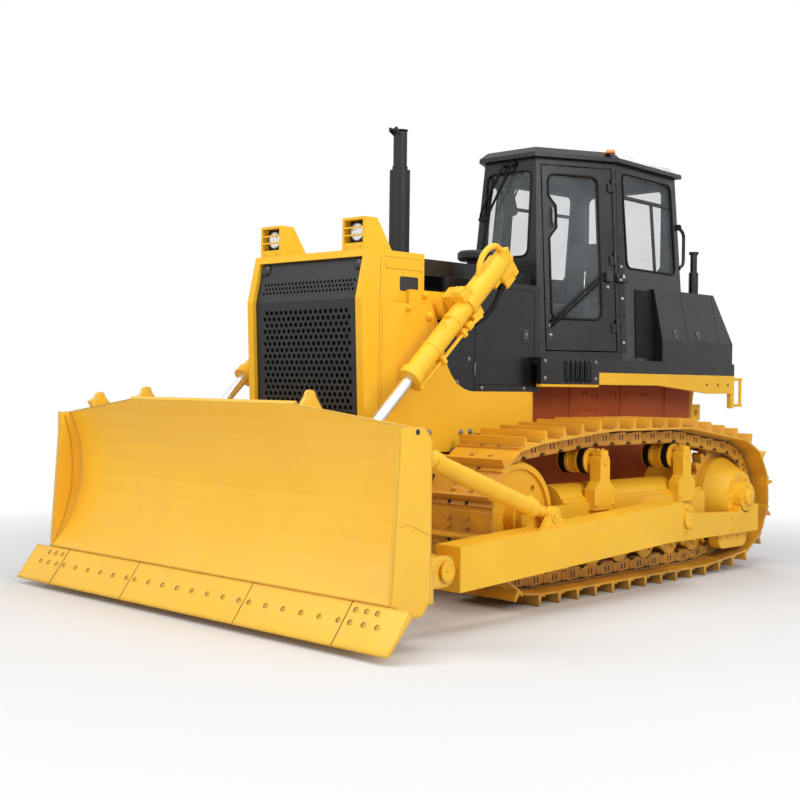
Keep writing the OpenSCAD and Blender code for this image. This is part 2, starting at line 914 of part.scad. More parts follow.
module cowl_panels() {
    color("dimgray")
        both_sides() {
            difference() {
                translate([0, flank_half - flank_t / 2, 0])
                    spread(flank_t)
                        panel_outline();
                bar_y(ram_x, ram_z, boss_r + shut_gap, hood_half, flank_half + over);
            }
            box(panel_x0, panel_x0 + flank_t, hood_half - hood_sheet, flank_half - flank_t, panel_z0 + flank_t,
                ledge_z);
            box(panel_x0, panel_x0 + flank_t, -over, flank_half - flank_t, deck_z + seat_gap, ledge_z);
            translate([0, 0, ledge_z - flank_t])
                linear_extrude(flank_t)
                    polygon([
                        [panel_x0, flank_half - flank_t],
                        [hood_taper_x, flank_half - flank_t],
                        [hood_taper_x, hood_half - hood_sheet],
                        [panel_x0, hood_tail_half - hood_sheet]
                    ]);
        }
}

lamp_y0 = 310;
lamp_y1 = 522;
lamp_l = 270;
lamp_h = 215;
lamp_wall = 18;
lamp_cap = 120;
lamp_bar = 11;
lamp_sill = 44;
lamp_room = lamp_h - lamp_wall - lamp_sill;

module lamp_case() {
    difference() {
        translate([guard_top_x, (lamp_y0 + lamp_y1) / 2, hood_z])
            spread(lamp_y1 - lamp_y0)
                polygon([[0, 0], [0, lamp_h], [-lamp_cap, lamp_h], [-lamp_l, 0]]);
        box(guard_top_x - lamp_cap, guard_top_x + over, lamp_y0 + lamp_wall, lamp_y1 - lamp_wall,
            hood_z + lamp_sill, hood_z + lamp_h - lamp_wall);
    }
    for (k = [1, 2])
        box(guard_top_x - lamp_bar, guard_top_x, lamp_y0 + lamp_wall - over, lamp_y1 - lamp_wall + over,
            hood_z + lamp_sill + lamp_room * k / 3 - lamp_bar / 2,
            hood_z + lamp_sill + lamp_room * k / 3 + lamp_bar / 2);
}

module lamp_cases() {
    color("gold")
        both_sides()
            lamp_case();
}

lens_r = 58;
lens_back = 34;

module lamp_lenses() {
    color("white")
        both_sides()
            translate([guard_top_x - lamp_cap, (lamp_y0 + lamp_y1) / 2, hood_z + lamp_sill + lamp_room / 2])
                rotate([0, 90, 0])
                    cylinder(h = lamp_cap - lens_back, r = lens_r);
}

stack_base_r = 105;
stack_base_h = 40;
stack_wall = 5;
collar_h = 30;
collar_out = 6;

module exhaust_stack() {
    color("dimgray")
        translate([stack_x, 0, hood_z - hood_drop])
            difference() {
                union() {
                    cylinder(h = stack_base_h, r = stack_base_r);
                    cylinder(h = muffler_z - hood_z + hood_drop, r = muffler_r);
                    cylinder(h = muffler_z - hood_z + hood_drop + collar_h, r = tailpipe_r + collar_out);
                    cylinder(h = tailpipe_z - hood_z + hood_drop, r = tailpipe_r);
                    mirror([1, 0, 0])
                        cap_mount();
                }
                translate([0, 0, stack_base_h])
                    cylinder(h = tailpipe_z, r = tailpipe_r - stack_wall);
            }
}

cap_pin_r = 7;
cap_ear_t = 10;
cap_ear_half = 24;
cap_lift = 12;
cap_t = 6;
cap_back = 24;
cap_reach = tailpipe_r + cap_back;

module cap_mount() {
    translate([0, 0, tailpipe_z - hood_z + hood_drop + cap_lift])
        difference() {
            for (s = [-1, 1])
                translate([0, s * (cap_ear_half + cap_ear_t / 2), 0])
                    spread(cap_ear_t)
                        polygon([
                            [-cap_reach - cap_pin_r * 2, cap_pin_r * 2],
                            [-cap_reach - cap_pin_r * 2, -cap_pin_r * 2],
                            [-tailpipe_r + collar_out * 2, -cap_pin_r * 6],
                            [-tailpipe_r + collar_out * 2, -cap_lift * 2],
                            [-cap_reach + cap_pin_r, cap_pin_r * 2]
                        ]);
            bar_y(-cap_reach, 0, cap_pin_r + fit, -cap_reach, cap_reach);
        }
}

cap_ear_gap = 5;

module rain_cap() {
    color("dimgray")
        translate([stack_x, 0, tailpipe_z + cap_lift])
            mirror([1, 0, 0]) {
                translate([0, 0, -cap_t / 2])
                    cylinder(h = cap_t, r = tailpipe_r + collar_out);
                box(-cap_reach, 0, -cap_ear_half + cap_ear_gap, cap_ear_half - cap_ear_gap, -cap_t / 2, cap_t / 2);
                bar_y(-cap_reach, 0, cap_pin_r, -cap_ear_half - cap_ear_t, cap_ear_half + cap_ear_t);
            }
}

cleaner_x = 1921;
cleaner_r = 145;
cleaner_z = 2460;
cleaner_h = 78;
cleaner_neck_r = 70;
cleaner_rim = 18;

module precleaner() {
    color("dimgray")
        translate([cleaner_x, 0, 0])
            rotate_extrude()
                polygon([
                    [0, hood_z - hood_drop],
                    [cleaner_neck_r, hood_z - hood_drop],
                    [cleaner_neck_r, cleaner_z],
                    [cleaner_r - cleaner_rim, cleaner_z],
                    [cleaner_r, cleaner_z + cleaner_rim],
                    [cleaner_r, cleaner_z + cleaner_h - cleaner_rim],
                    [cleaner_r - cleaner_rim, cleaner_z + cleaner_h],
                    [0, cleaner_z + cleaner_h]
                ]);
}

deck_edge_h = 105;
skirt_z1 = deck_z - deck_edge_h;
skirt_t = 40;
skirt_nose = 1285;
deck_edge_t = 40;

module deck() {
    color("dimgray")
        difference() {
            union() {
                box(-deck_tail, deck_nose, -deck_half, deck_half, case_z, deck_z);
                both_sides()
                    box(-deck_tail, deck_nose, deck_half - deck_edge_t, deck_half, skirt_z1, case_z + over);
            }
            box(case_x1, deck_nose + over, -hull_half, hull_half, case_z - over, deck_z + over);
            both_sides() {
                box(panel_x0 - shut_gap, deck_nose + over, 0, flank_half + shut_gap, skirt_z1 - over, deck_z + over);
                box(skirt_nose - seat_gap, deck_nose + over, deck_half - skirt_t, deck_half + over, skirt_z1 - over,
                    deck_z + over);
            }
        }
}

grab_r = 14;

module grab(h, reach) {
    for (z = [0, h])
        translate([0, 0, z])
            rotate([0, -90, 0])
                cylinder(h = reach, r = grab_r, $fn = 24);
    translate([-reach + grab_r, 0, -grab_r])
        cylinder(h = h + grab_r * 2, r = grab_r, $fn = 24);
}

skirt_tail_drop = 65;
skirt_tab_z = 1305;
skirt_tab_l = 55;

module deck_skirts() {
    color("gold")
        both_sides() {
            translate([0, deck_half - skirt_t / 2, 0])
                spread(skirt_t)
                    polygon([
                        [-deck_tail, skirt_z1],
                        [-deck_tail, skirt_tab_z],
                        [-deck_tail + skirt_tab_l, skirt_tab_z],
                        [-deck_tail + skirt_tab_l, skirt_z1 - skirt_h - skirt_tail_drop],
                        [-deck_tail / 2, skirt_z1 - skirt_h - skirt_tail_drop],
                        [deck_tail / 2, skirt_z1 - skirt_h],
                        [skirt_nose, skirt_z1 - skirt_h],
                        [skirt_nose, skirt_z1]
                    ]);
            translate([-deck_tail + over, deck_half - skirt_t / 2, skirt_tab_z + grab_r * 2])
                grab(skirt_z1 - skirt_tab_z - grab_r * 4, tail_grab + over);
        }
}

step_drop = 95;
step_slot_w = 46;
step_slots = 4;
step_slot_pitch = 62;
step_slot_x0 = 190;
step_rise = 40;

module step_plates() {
    color("dimgray")
        both_sides()
            difference() {
                box(skirt_nose + seat_gap, deck_nose, deck_half - skirt_t + seat_gap, deck_half, skirt_z1 - step_drop,
                    deck_z);
                for (k = [0 : step_slots - 1])
                    translate([skirt_nose + step_slot_x0 + step_slot_pitch * k, 0, 0])
                        box(0, step_slot_w, deck_half - skirt_t - over, deck_half + over,
                            skirt_z1 - step_drop + step_rise, deck_z - step_rise);
            }
}

box_x0 = -800;
box_x1 = 367;
box_kink_z = 1880;
box_top_z = 2310;
box_top_y = 650;
box_rear_run = 190;
box_wall = 8;

function face_in(z) = side_foot + (side_head - side_foot) * (z - deck_z) / (cab_z - deck_z);

module side_boxes() {
    color("dimgray")
        both_sides()
            difference() {
                translate([box_x0, 0, 0])
                    rotate([90, 0, 90])
                        linear_extrude(height = box_x1 - box_x0)
                            polygon([
                                [deck_half, deck_z],
                                [deck_half, box_kink_z],
                                [box_top_y, box_top_z],
                                [face_in(box_top_z) + box_wall * 2, box_top_z],
                                [face_in(deck_z) + box_wall * 2, deck_z]
                            ]);
                translate([box_x0, 0, box_kink_z])
                    rotate([0, -atan2(box_top_z - box_kink_z, box_rear_run), 0])
                        box(0, big, 0, big, 0, big);
                at_wall(side_angle, side_foot, side_head)
                    translate([-big, -big / 2, -over])
                        cube([big + box_wall, big, big]);
            }
}

tank_gap = 12;
tank_x0 = -780;
tank_half = 600;
tank_top_z = 2250;
filler_r = 42;
filler_top_r = 30;
filler_x = -440;
filler_y = 548;
filler_h1 = 256;
filler_h2 = 440;
filler_cap_h = 24;

module fuel_tank() {
    color("dimgray") {
        spread(tank_half * 2)
            polygon([
                [tank_x0, deck_z],
                [-cab_tail - tank_gap, deck_z],
                [-cab_tail - tank_gap, tank_top_z],
                [tank_x0 + box_rear_run, tank_top_z],
                [tank_x0, box_kink_z]
            ]);
        translate([filler_x, filler_y, 0])
            rotate_extrude()
                polygon([
                    [0, tank_top_z - over],
                    [filler_r, tank_top_z - over],
                    [filler_r, tank_top_z + filler_h1],
                    [filler_top_r, tank_top_z + filler_h1],
                    [filler_top_r, tank_top_z + filler_h2 - filler_cap_h],
                    [filler_r, tank_top_z + filler_h2 - filler_cap_h],
                    [filler_r, tank_top_z + filler_h2],
                    [0, tank_top_z + filler_h2]
                ]);
    }
}

cab_h = cab_z - deck_z;

module at_wall(turn, foot, head) {
    rotate([0, 0, turn])
        translate([foot, 0, deck_z])
            rotate([0, -atan2(foot - head, cab_h), 0])
                children();
}

module at_each_wall() {
    at_wall(0, cab_front, cab_front_top)
        children();
    at_wall(door_angle, door_foot, door_head)
        children();
    at_wall(side_angle, side_foot, side_head)
        children();
    at_wall(180, cab_tail, cab_tail)
        children();
    mirror([0, 1, 0]) {
        at_wall(door_angle, door_foot, door_head)
            children();
        at_wall(side_angle, side_foot, side_head)
            children();
    }
}

cab_span = 1000;

module cab_solid(inset, z0, z1) {
    difference() {
        box(-cab_tail - cab_span, cab_front + cab_span, -cab_span, cab_span, z0, z1);
        at_each_wall()
            translate([-inset, -big / 2, -big / 2])
                cube([big, big, big]);
    }
}

// outline with rounded corners in the wall's own plane
module soft_square(w, h, r) {
    translate([r, 0])
        square([w - r * 2, h]);
    translate([0, r])
        square([w, h - r * 2]);
    for (x = [r, w - r])
        for (z = [r, h - r])
            translate([x, z])
                circle(r = r, $fn = 32);
}

module in_wall(y0, z0, w, h, r, d0, d1) {
    translate([-d1, y0, z0])
        rotate([90, 0, 90])
            linear_extrude(height = d1 - d0)
                soft_square(w, h, r);
}

module window_cut(win) {
    in_wall(win[0], win[1], win[2], win[3], glass_round, -over, cab_wall + over);
}

glass_t = 8;
glass_round = 60;
front_win = [-225, 820, 450, 690];
side_win = [-800, 760, 840, 780];
rear_win = [-400, 800, 800, 720];
door_y1 = -562;
door_y0 = door_y1 - door_w;
door_z0 = 70;
door_t = 45;
door_win = [50, 250, 450, 1165];
bay_z0 = 897;
bay_z1 = 1247;
bay_run = 85;
bay_depth = 66;

module cab_front_place() {
    at_wall(0, cab_front, cab_front_top)
        children();
}

module cab_side_place() {
    at_wall(side_angle, side_foot, side_head)
        children();
}

module cab_rear_place() {
    at_wall(180, cab_tail, cab_tail)
        children();
}

module door_place() {
    at_wall(door_angle, door_foot, door_head)
        children();
}

// knuckle and pin that carry a door, on the frame beside it
module door_knuckles() {
    door_place()
        for (z = hinge_zs) {
            translate([hinge_out, hinge_y, door_z0 + z + hinge_h + hinge_play])
                cylinder(h = hinge_h / 2, r = hinge_r, $fn = 24);
            translate([hinge_out, hinge_y, door_z0 + z])
                cylinder(h = hinge_h + hinge_play * 2, r = hinge_pin_r, $fn = 24);
            translate([-over, hinge_y + shut_gap / 2, door_z0 + z + hinge_h + hinge_play])
                cube([hinge_out + over, leaf_w, hinge_h / 2]);
        }
}

module cab_frame() {
    color("dimgray") {
        both_sides()
            door_knuckles();
        difference() {
            cab_solid(0, deck_z, cab_z);
            cab_solid(cab_wall, deck_z - over, cab_z + over);
            cab_front_place()
                window_cut(front_win);
            cab_rear_place()
                window_cut(rear_win);
            both_sides() {
                cab_side_place()
                    window_cut(side_win);
                door_place()
                    translate([-cab_wall * 2, door_y0 - shut_gap, door_z0 - shut_gap])
                        cube([cab_wall * 3, door_w + shut_gap * 2, door_h + shut_gap * 2]);
            }
        }
    }
}

module pane(win, inset) {
    in_wall(win[0] + seat_gap, win[1] + seat_gap, win[2] - seat_gap * 2, win[3] - seat_gap * 2,
        glass_round - seat_gap, inset, inset + glass_t);
}

// the bay in the front edge of a door window, where the handle sits
module handle_bay(grow, d0, d1) {
    translate([-d1, door_y0 + door_win[0], door_z0])
        rotate([90, 0, 90])
            linear_extrude(height = d1 - d0)
                polygon([
                    [-over, bay_z0 - grow],
                    [bay_depth + grow, bay_z0 + bay_run],
                    [bay_depth + grow, bay_z1 - bay_run],
                    [-over, bay_z1 + grow]
                ]);
}

glass_in = 14;

module cab_glass() {
    color("lightgray", 0.5) {
        cab_front_place()
            pane(front_win, glass_in);
        cab_rear_place()
            pane(rear_win, glass_in);
        both_sides()
            cab_side_place()
                pane(side_win, glass_in);
    }
}

hinge_r = 14;
hinge_out = 16;
hinge_h = 70;
hinge_zs = [150, 700, 1300];
leaf_w = 40;
hinge_pin_r = 8;
hinge_play = 1;
hinge_y = door_y1 + shut_gap / 2;

module door() {
    door_place() {
        difference() {
            translate([-door_t, door_y0, door_z0])
                cube([door_t, door_w, door_h]);
            difference() {
                in_wall(door_y0 + door_win[0], door_z0 + door_win[1], door_win[2], door_win[3], glass_round, -over,
                    door_t + over);
                handle_bay(0, -over * 2, door_t + over * 2);
            }
        }
        for (z = hinge_zs)
            difference() {
                union() {
                    translate([hinge_out, hinge_y, door_z0 + z])
                        cylinder(h = hinge_h, r = hinge_r, $fn = 24);
                    translate([-over, door_y1 - leaf_w, door_z0 + z])
                        cube([hinge_out + over, leaf_w, hinge_h]);
                }
                translate([hinge_out, hinge_y, door_z0 + z - over])
                    cylinder(h = hinge_h + over * 2, r = hinge_pin_r + fit, $fn = 24);
            }
    }
}

module door_left() {
    color("dimgray")
        door();
}

module door_right() {
    color("dimgray")
        mirror([0, 1, 0])
            door();
}

module door_pane() {
    door_place()
        difference() {
            translate([0, door_y0, door_z0])
                pane(door_win, glass_in);
            handle_bay(seat_gap, glass_in - over, glass_in + glass_t + over);
        }
}

module door_glass_left() {
    color("lightgray", 0.5)
        door_pane();
}

module door_glass_right() {
    color("lightgray", 0.5)
        mirror([0, 1, 0])
            door_pane();
}

roof_lip = 35;

module cab_roof() {
    color("dimgray") {
        cab_solid(-roof_out, cab_z, cab_z + roof_lip);
        intersection() {
            cab_solid(-roof_out, cab_z + roof_lip, roof_z);
            difference() {
                cab_solid(-roof_out, cab_z, roof_z);
                at_each_wall()
                    translate([roof_out, -big / 2, cab_h + roof_lip])
                        rotate([0, -45, 0])
                            cube([big, big, big]);
            }
        }
    }
}

seat_x = 620;
seat_half = 250;
seat_l = 480;
seat_z = 2180;
cushion_h = 110;
back_h = 560;
back_t = 120;
seat_base_half = 190;

module seat() {
    color("black") {
        box(seat_x - seat_l / 2, seat_x + seat_l / 2, -seat_half, seat_half, seat_z - cushion_h, seat_z);
        box(seat_x - seat_l / 2 - back_t, seat_x - seat_l / 2, -seat_half, seat_half, seat_z - cushion_h, seat_z + back_h);
        box(seat_x - seat_base_half, seat_x + seat_base_half, -seat_base_half, seat_base_half, deck_z,
            seat_z - cushion_h);
    }
}

dash_x0 = 1290;
dash_x1 = 1480;
dash_half = 170;
dash_z = 2320;

module console() {
    color("dimgray")
        box(dash_x0, dash_x1, -dash_half, dash_half, deck_z, dash_z);
}

// side view of the moldboard's front face
board_set = 174;
board_low_z = 278;
board_lean = 244;
board_low = [blade_tip_x - board_set, board_low_z];
board_high = [blade_tip_x - board_lean, blade_top_z];
board_chord = norm(board_high - board_low);
board_dir = (board_high - board_low) / board_chord;
board_back = [-board_dir[1], board_dir[0]];
board_r = (board_chord * board_chord / 4 + hollow_depth * hollow_depth) / (2 * hollow_depth);
board_mid = (board_low + board_high) / 2;
board_c = board_mid - board_back * (board_r - hollow_depth);
board_half_a = asin(board_chord / 2 / board_r);
board_axis_a = atan2(board_back[1], board_back[0]);
board_steps = 10;
core_share = 0.92;

function board_at(r, share) = on_ring(board_c, r, board_axis_a + board_half_a * (1 - 2 * share));
board_front = [for (i = [0 : board_steps]) board_at(board_r, 1 - i / board_steps)];
board_rear = [for (i = [0 : board_steps]) board_at(board_r + board_t, i / board_steps)];
// middle of the plate's thickness, from near its top edge to near its foot
board_core = [for (i = [0 : board_steps])
    board_at(board_r + board_t / 2, (1 + core_share) / 2 - core_share * i / board_steps)];

edge_t = 40;
edge_gap = 8;
edge_nose_share = 0.2;
edge_low = [blade_tip_x, blade_tip_z];
edge_len = norm(board_low - edge_low);
edge_d = (board_low - edge_low) / edge_len;
edge_n = [edge_d[1], -edge_d[0]];
bit_w = 432;
bit_inner = blade_w / 2 - bit_w;
backing_t = 36;
backing_share = 0.4;

side_back = 504;
side_x0 = blade_tip_x - side_back;
side_t = 28;
side_z0 = 192;
side_toe = 60;
side_chin = 90;
side_heel = 45;
side_lip = 6;
side_horn = 150;
side_brow = 70;
side_front = 10;

spine_back = 370;
spine_z0 = 250;
spine_z1 = 430;
spine_toe = 70;
spine_toe_z = 215;
spine_heel_z = 262;
spine_top = 130;

rib_t = 36;
rib_ys = [430, 1180];
rib_back = 530;
rib_z0 = 340;
rib_z1 = 1100;
tab_tops = [1445, 1445, 1400];
tab_ys = [ram_y, -ram_y, rib_t - arm_y];
tab_l = 190;
tab_r = 34;
tab_t = 36;

ear_r = 75;
ear_t = 30;
ear_in = 66;
ear_rise = 120;
ear_drop = 135;

brace_low = [2887, 640];
brace_high = [4290, 1124];
brace_eye_w = 70;
brace_end_r = 45;
brace_neck = 150;
brace_ear_t = 35;
brace_ear_r = 62;
brace_foot = 160;
brace_drop = 120;
brace_pin_r = 24;
brace_ear_y = (brace_eye_w + brace_ear_t + seat_gap) / 2;

fork_out = 110;
fork_x = arm_end_x + fork_out;
fork_r = 95;
fork_t = 40;
fork_pin_r = 38;
tongue_half = 35;
tongue_r = 70;
fork_y = tongue_half + seat_gap + fork_t / 2;

// foot of the blade, from the plate's lower end down behind the cutting edge
module edge_backing() {
    seat = edge_n * (edge_t + seat_gap);
    foot = edge_low + edge_d * edge_len * backing_share - seat;
    polygon([
        foot,
        board_low - seat,
        board_low - seat - edge_n * backing_t,
        foot - edge_n * backing_t
    ]);
}

module blade_spine() {
    polygon([
        [board_low[0] - spine_back, spine_z0],
        [board_low[0] - spine_toe, spine_toe_z],
        [board_low[0] - side_heel, spine_heel_z],
        [board_low[0] - spine_top, spine_z1],
        [board_low[0] - spine_back, spine_z1]
    ]);
}

module blade_side() {
    polygon([
        [side_x0, side_z0 + side_chin],
        [side_x0 + side_toe, side_z0],
        [board_low[0] - side_heel, side_z0],
        [board_low[0] - side_heel, spine_heel_z],
        [board_low[0] - side_lip, board_low[1] + side_lip],
        [board_high[0] + side_front, blade_corner_z - side_horn],
        [board_high[0] + side_front, blade_corner_z],
        [side_x0 + side_brow, blade_corner_z],
        [side_x0, blade_corner_z - side_brow]
    ]);
}

module blade_ear() {
    difference() {
        union() {
            polygon([
                [eye_x - ear_r, eye_z],
                [eye_x + ear_r, eye_z + ear_rise],
                board_core[2],
                board_core[3],
                board_core[4],
                board_core[5],
                [eye_x + ear_r, eye_z - ear_drop]
            ]);
            translate([eye_x, eye_z])
                circle(r = ear_r);
        }
        translate([eye_x, eye_z])
            circle(r = rod_r + fit);
    }
}

module brace_ear() {
    difference() {
        union() {
            polygon([
                [brace_high[0], brace_high[1] - brace_ear_r],
                [brace_high[0], brace_high[1] + brace_ear_r],
                board_core[1],
                board_core[2],
                board_core[3]
            ]);
            translate(brace_high)
                circle(r = brace_ear_r);
        }
        translate(brace_high)
            circle(r = brace_pin_r + fit);
    }
}

module arm_fork() {
    difference() {
        union() {
            translate([fork_x, arm_end_z - fork_r])
                square([side_x0 + side_toe - fork_x, fork_r * 2]);
            translate([fork_x, arm_end_z])
                circle(r = fork_r);
        }
        translate([fork_x, arm_end_z])
            circle(r = fork_pin_r + fit);
    }
}

module lifting_tab(top) {
    head = board_core[0];
    foot = board_core[1];
    crown = [head[0] - tab_l / 2, top - tab_r];
    polygon([
        foot,
        head,
        crown + [tab_r, 0],
        crown - [tab_r, 0],
        [foot[0] - tab_l, foot[1]]
    ]);
    translate(crown)
        circle(r = tab_r);
}

module blade() {
    color("gold") {
        difference() {
            union() {
                spread(board_w)
                    polygon(concat(board_front, board_rear));
                spread(board_w - side_t)
                    blade_spine();
                spread(board_w - side_t)
                    edge_backing();
                both_sides() {
                    translate([0, board_w / 2 - side_t / 2, 0])
                        spread(side_t)
                            blade_side();
                    for (y = rib_ys)
                        translate([0, y, 0])
                            spread(rib_t)
                                polygon(concat(
                                    [[blade_tip_x - rib_back, rib_z0], [blade_tip_x - rib_back, rib_z1]],
                                    board_core
                                ));
                    for (e = [-1, 1]) {
                        translate([0, ram_y + e * (ear_in + ear_t / 2), 0])
                            spread(ear_t)
                                blade_ear();
                        translate([0, arm_y + e * brace_ear_y, 0])
                            spread(brace_ear_t)
                                brace_ear();
                        translate([0, arm_y + e * fork_y, 0])
                            spread(fork_t)
                                arm_fork();
                    }
                }
            }
            for (s = [-1, 1])
                translate([0, s * blade_level_half, blade_top_z])
                    rotate([s * -atan2(blade_top_z - blade_corner_z, board_w / 2 - blade_level_half), 0, 0])
                        translate([0, -big / 2 + s * big / 2, 0])
                            cube([big, big, big]);
        }
        for (k = [0 : len(tab_ys) - 1])
            translate([0, tab_ys[k], 0])
                spread(tab_t)
                    lifting_tab(tab_tops[k]);
    }
}

module edge_outline() {
    reach = edge_len - edge_gap;
    polygon([
        edge_low,
        edge_low + edge_d * reach,
        edge_low + edge_d * reach - edge_n * edge_t,
        edge_low - edge_n * edge_t * edge_nose_share
    ]);
}

module cutting_edge() {
    color("goldenrod") {
        spread((bit_inner - seat_gap) * 2)
            edge_outline();
        both_sides()
            translate([0, bit_inner + bit_w / 2, 0])
                spread(bit_w)
                    edge_outline();
    }
}

arm_cap_r = 118;
arm_cap_half = 78;
arm_cap_run = 85;

module arm_ear() {
    difference() {
        union() {
            polygon([
                [brace_low[0] - brace_foot, brace_low[1] - brace_drop],
                [brace_low[0] + brace_foot, brace_low[1] - brace_drop],
                [brace_low[0] + brace_ear_r, brace_low[1]],
                [brace_low[0] - brace_ear_r, brace_low[1]]
            ]);
            translate(brace_low)
                circle(r = brace_ear_r);
        }
        translate(brace_low)
            circle(r = brace_pin_r + fit);
    }
}

module push_arm() {
    arm_rise = (trunnion_z - arm_end_z) / (arm_end_x - trunnion_x) * arm_cap_run;
    difference() {
        union() {
            spread(arm_w)
                polygon([
                    [trunnion_x + arm_cap_run, trunnion_z - arm_rise - arm_h / 2],
                    [arm_end_x, arm_end_z - arm_h / 2],
                    [arm_end_x, arm_end_z + arm_h / 2],
                    [trunnion_x + arm_cap_run, trunnion_z - arm_rise + arm_h / 2]
                ]);
            bar_y(trunnion_x, trunnion_z, arm_cap_r, -arm_cap_half, arm_cap_half);
            for (e = [-1, 1])
                translate([0, e * brace_ear_y, 0])
                    spread(brace_ear_t)
                        arm_ear();
            box(arm_end_x - over, fork_x, -tongue_half, tongue_half, arm_end_z - tongue_r, arm_end_z + tongue_r);
            bar_y(fork_x, arm_end_z, tongue_r, -tongue_half, tongue_half);
            bar_y(fork_x, arm_end_z, fork_pin_r, -fork_y - fork_t, fork_y + fork_t);
        }
        bar_y(trunnion_x, trunnion_z, trunnion_r + fit, -arm_w, arm_w);
    }
}

module push_arms() {
    color("gold")
        both_sides()
            translate([0, arm_y, 0])
                push_arm();
}

module braces() {
    d = brace_high - brace_low;
    color("gold")
        both_sides()
            translate([0, arm_y, 0]) {
                translate([brace_low[0], 0, brace_low[1]])
                    rotate([0, 90 - atan2(d[1], d[0]), 0]) {
                        translate([0, 0, brace_neck])
                            cylinder(h = norm(d) - brace_neck * 2, r = brace_r);
                        cylinder(h = norm(d), r = brace_eye_w / 2 - seat_gap);
                    }
                for (p = [brace_low, brace_high]) {
                    bar_y(p[0], p[1], brace_end_r, -brace_eye_w / 2, brace_eye_w / 2);
                    bar_y(p[0], p[1], brace_pin_r, -brace_ear_y - brace_ear_t, brace_ear_y + brace_ear_t);
                }
            }
}

ram_d = [eye_x - ram_x, eye_z - ram_z];
ram_len = norm(ram_d);
ram_a = atan2(ram_d[1], ram_d[0]);
cap_end_r = 80;
gland_r = 84;
gland_l = 60;
collar_r = 86;
collar_l = 60;
yoke_arm_t = 58;
yoke_sink = 12;
yoke_back_t = 54;
yoke_half = 55;
yoke_cap_half = 62;
yoke_boss_r = 40;
yoke_boss_h = 14;
head_half = 46;
head_l = 76;
stub_r = 44;
stub_y = 590;
cap_plug = 40;
rod_tail = 437;
eye_r = 72;
eye_half = 52;
eye_pin_half = 60;

module on_ram() {
    translate([ram_x, ram_y, ram_z])
        rotate([0, 90 - ram_a, 0])
            children();
}

// gimbal yoke that carries the barrel on its stub
module yoke() {
    reach = barrel_r + yoke_arm_t - yoke_sink;
    for (e = [-1, 1]) {
        translate([e * (reach - yoke_arm_t / 2), 0, 0])
            box(-yoke_arm_t / 2, yoke_arm_t / 2, -barrel_r - yoke_back_t, yoke_cap_half, -yoke_half, yoke_half);
        translate([e * reach, 0, 0])
            rotate([0, 90, 0])
                cylinder(h = yoke_boss_h * 2, r = yoke_boss_r, center = true);
    }
    box(-reach, reach, -barrel_r - yoke_back_t, -barrel_r + yoke_boss_h, -yoke_half, yoke_half);
}

module barrel() {
    difference() {
        union() {
            on_ram() {
                translate([0, 0, -barrel_up])
                    cylinder(h = barrel_up + barrel_down, r = barrel_r);
                translate([0, 0, -barrel_up])
                    cylinder(h = barrel_up, r = cap_end_r);
                translate([0, 0, barrel_down - gland_l])
                    cylinder(h = gland_l, r = gland_r);
                translate([0, 0, -collar_l / 2])
                    cylinder(h = collar_l, r = collar_r);
                yoke();
                box(-head_half, head_half, -head_half, head_half, -barrel_up - head_l, -barrel_up + over);
            }
            bar_y(ram_x, ram_z, stub_r, stub_y, ram_y - barrel_r);
        }
        on_ram()
            translate([0, 0, -barrel_up + cap_plug])
                cylinder(h = barrel_up + barrel_down, r = rod_r + fit);
    }
}

module rod() {
    on_ram()
        translate([0, 0, barrel_down - rod_tail])
            cylinder(h = ram_len - barrel_down + rod_tail, r = rod_r);
    bar_y(eye_x, eye_z, eye_r, ram_y - eye_half, ram_y + eye_half);
    bar_y(eye_x, eye_z, rod_r, ram_y - eye_pin_half, ram_y + eye_pin_half);
}

module lift_barrel_left() {
    color("gold")
        barrel();
}

module lift_barrel_right() {
    color("gold")
        mirror([0, 1, 0])
            barrel();
}

module lift_rod_left() {
    color("silver")
        rod();
}

module lift_rod_right() {
    color("silver")
        mirror([0, 1, 0])
            rod();
}

boss_r = 95;
boss_y = 700;
boss_foot = 330;
boss_foot_t = 30;

module lift_brackets() {
    color("gold")
        both_sides()
            difference() {
                union() {
                    bar_y(ram_x, ram_z, boss_r, hood_half, boss_y);
                    box(ram_x - boss_r, ram_x + boss_foot, hood_half, hood_half + boss_foot_t, ram_z - boss_r,
                        ram_z + boss_r);
                }
                bar_y(ram_x, ram_z, stub_r + fit, hood_half - over, boss_y + over);
            }
}

hitch_half = 110;
hitch_l = 190;
hitch_z0 = 560;
hitch_z1 = 760;
hitch_slot = 70;
hitch_pin_r = 26;
hitch_pin_in = 118.75;
hitch_web = 47.5;

module drawbar() {
    color("goldenrod")
        difference() {
            box(-hull_tail - hitch_l, -hull_tail, -hitch_half, hitch_half, hitch_z0, hitch_z1);
            box(-hull_tail - hitch_l - over, -hull_tail - hitch_web, -hitch_half - over, hitch_half + over,
                (hitch_z0 + hitch_z1 - hitch_slot) / 2, (hitch_z0 + hitch_z1 + hitch_slot) / 2);
            translate([-hull_tail - hitch_pin_in, 0, hitch_z0 - over])
                cylinder(h = hitch_z1 - hitch_z0 + over * 2, r = hitch_pin_r);
        }
}

// name of the piece to show, or all of them

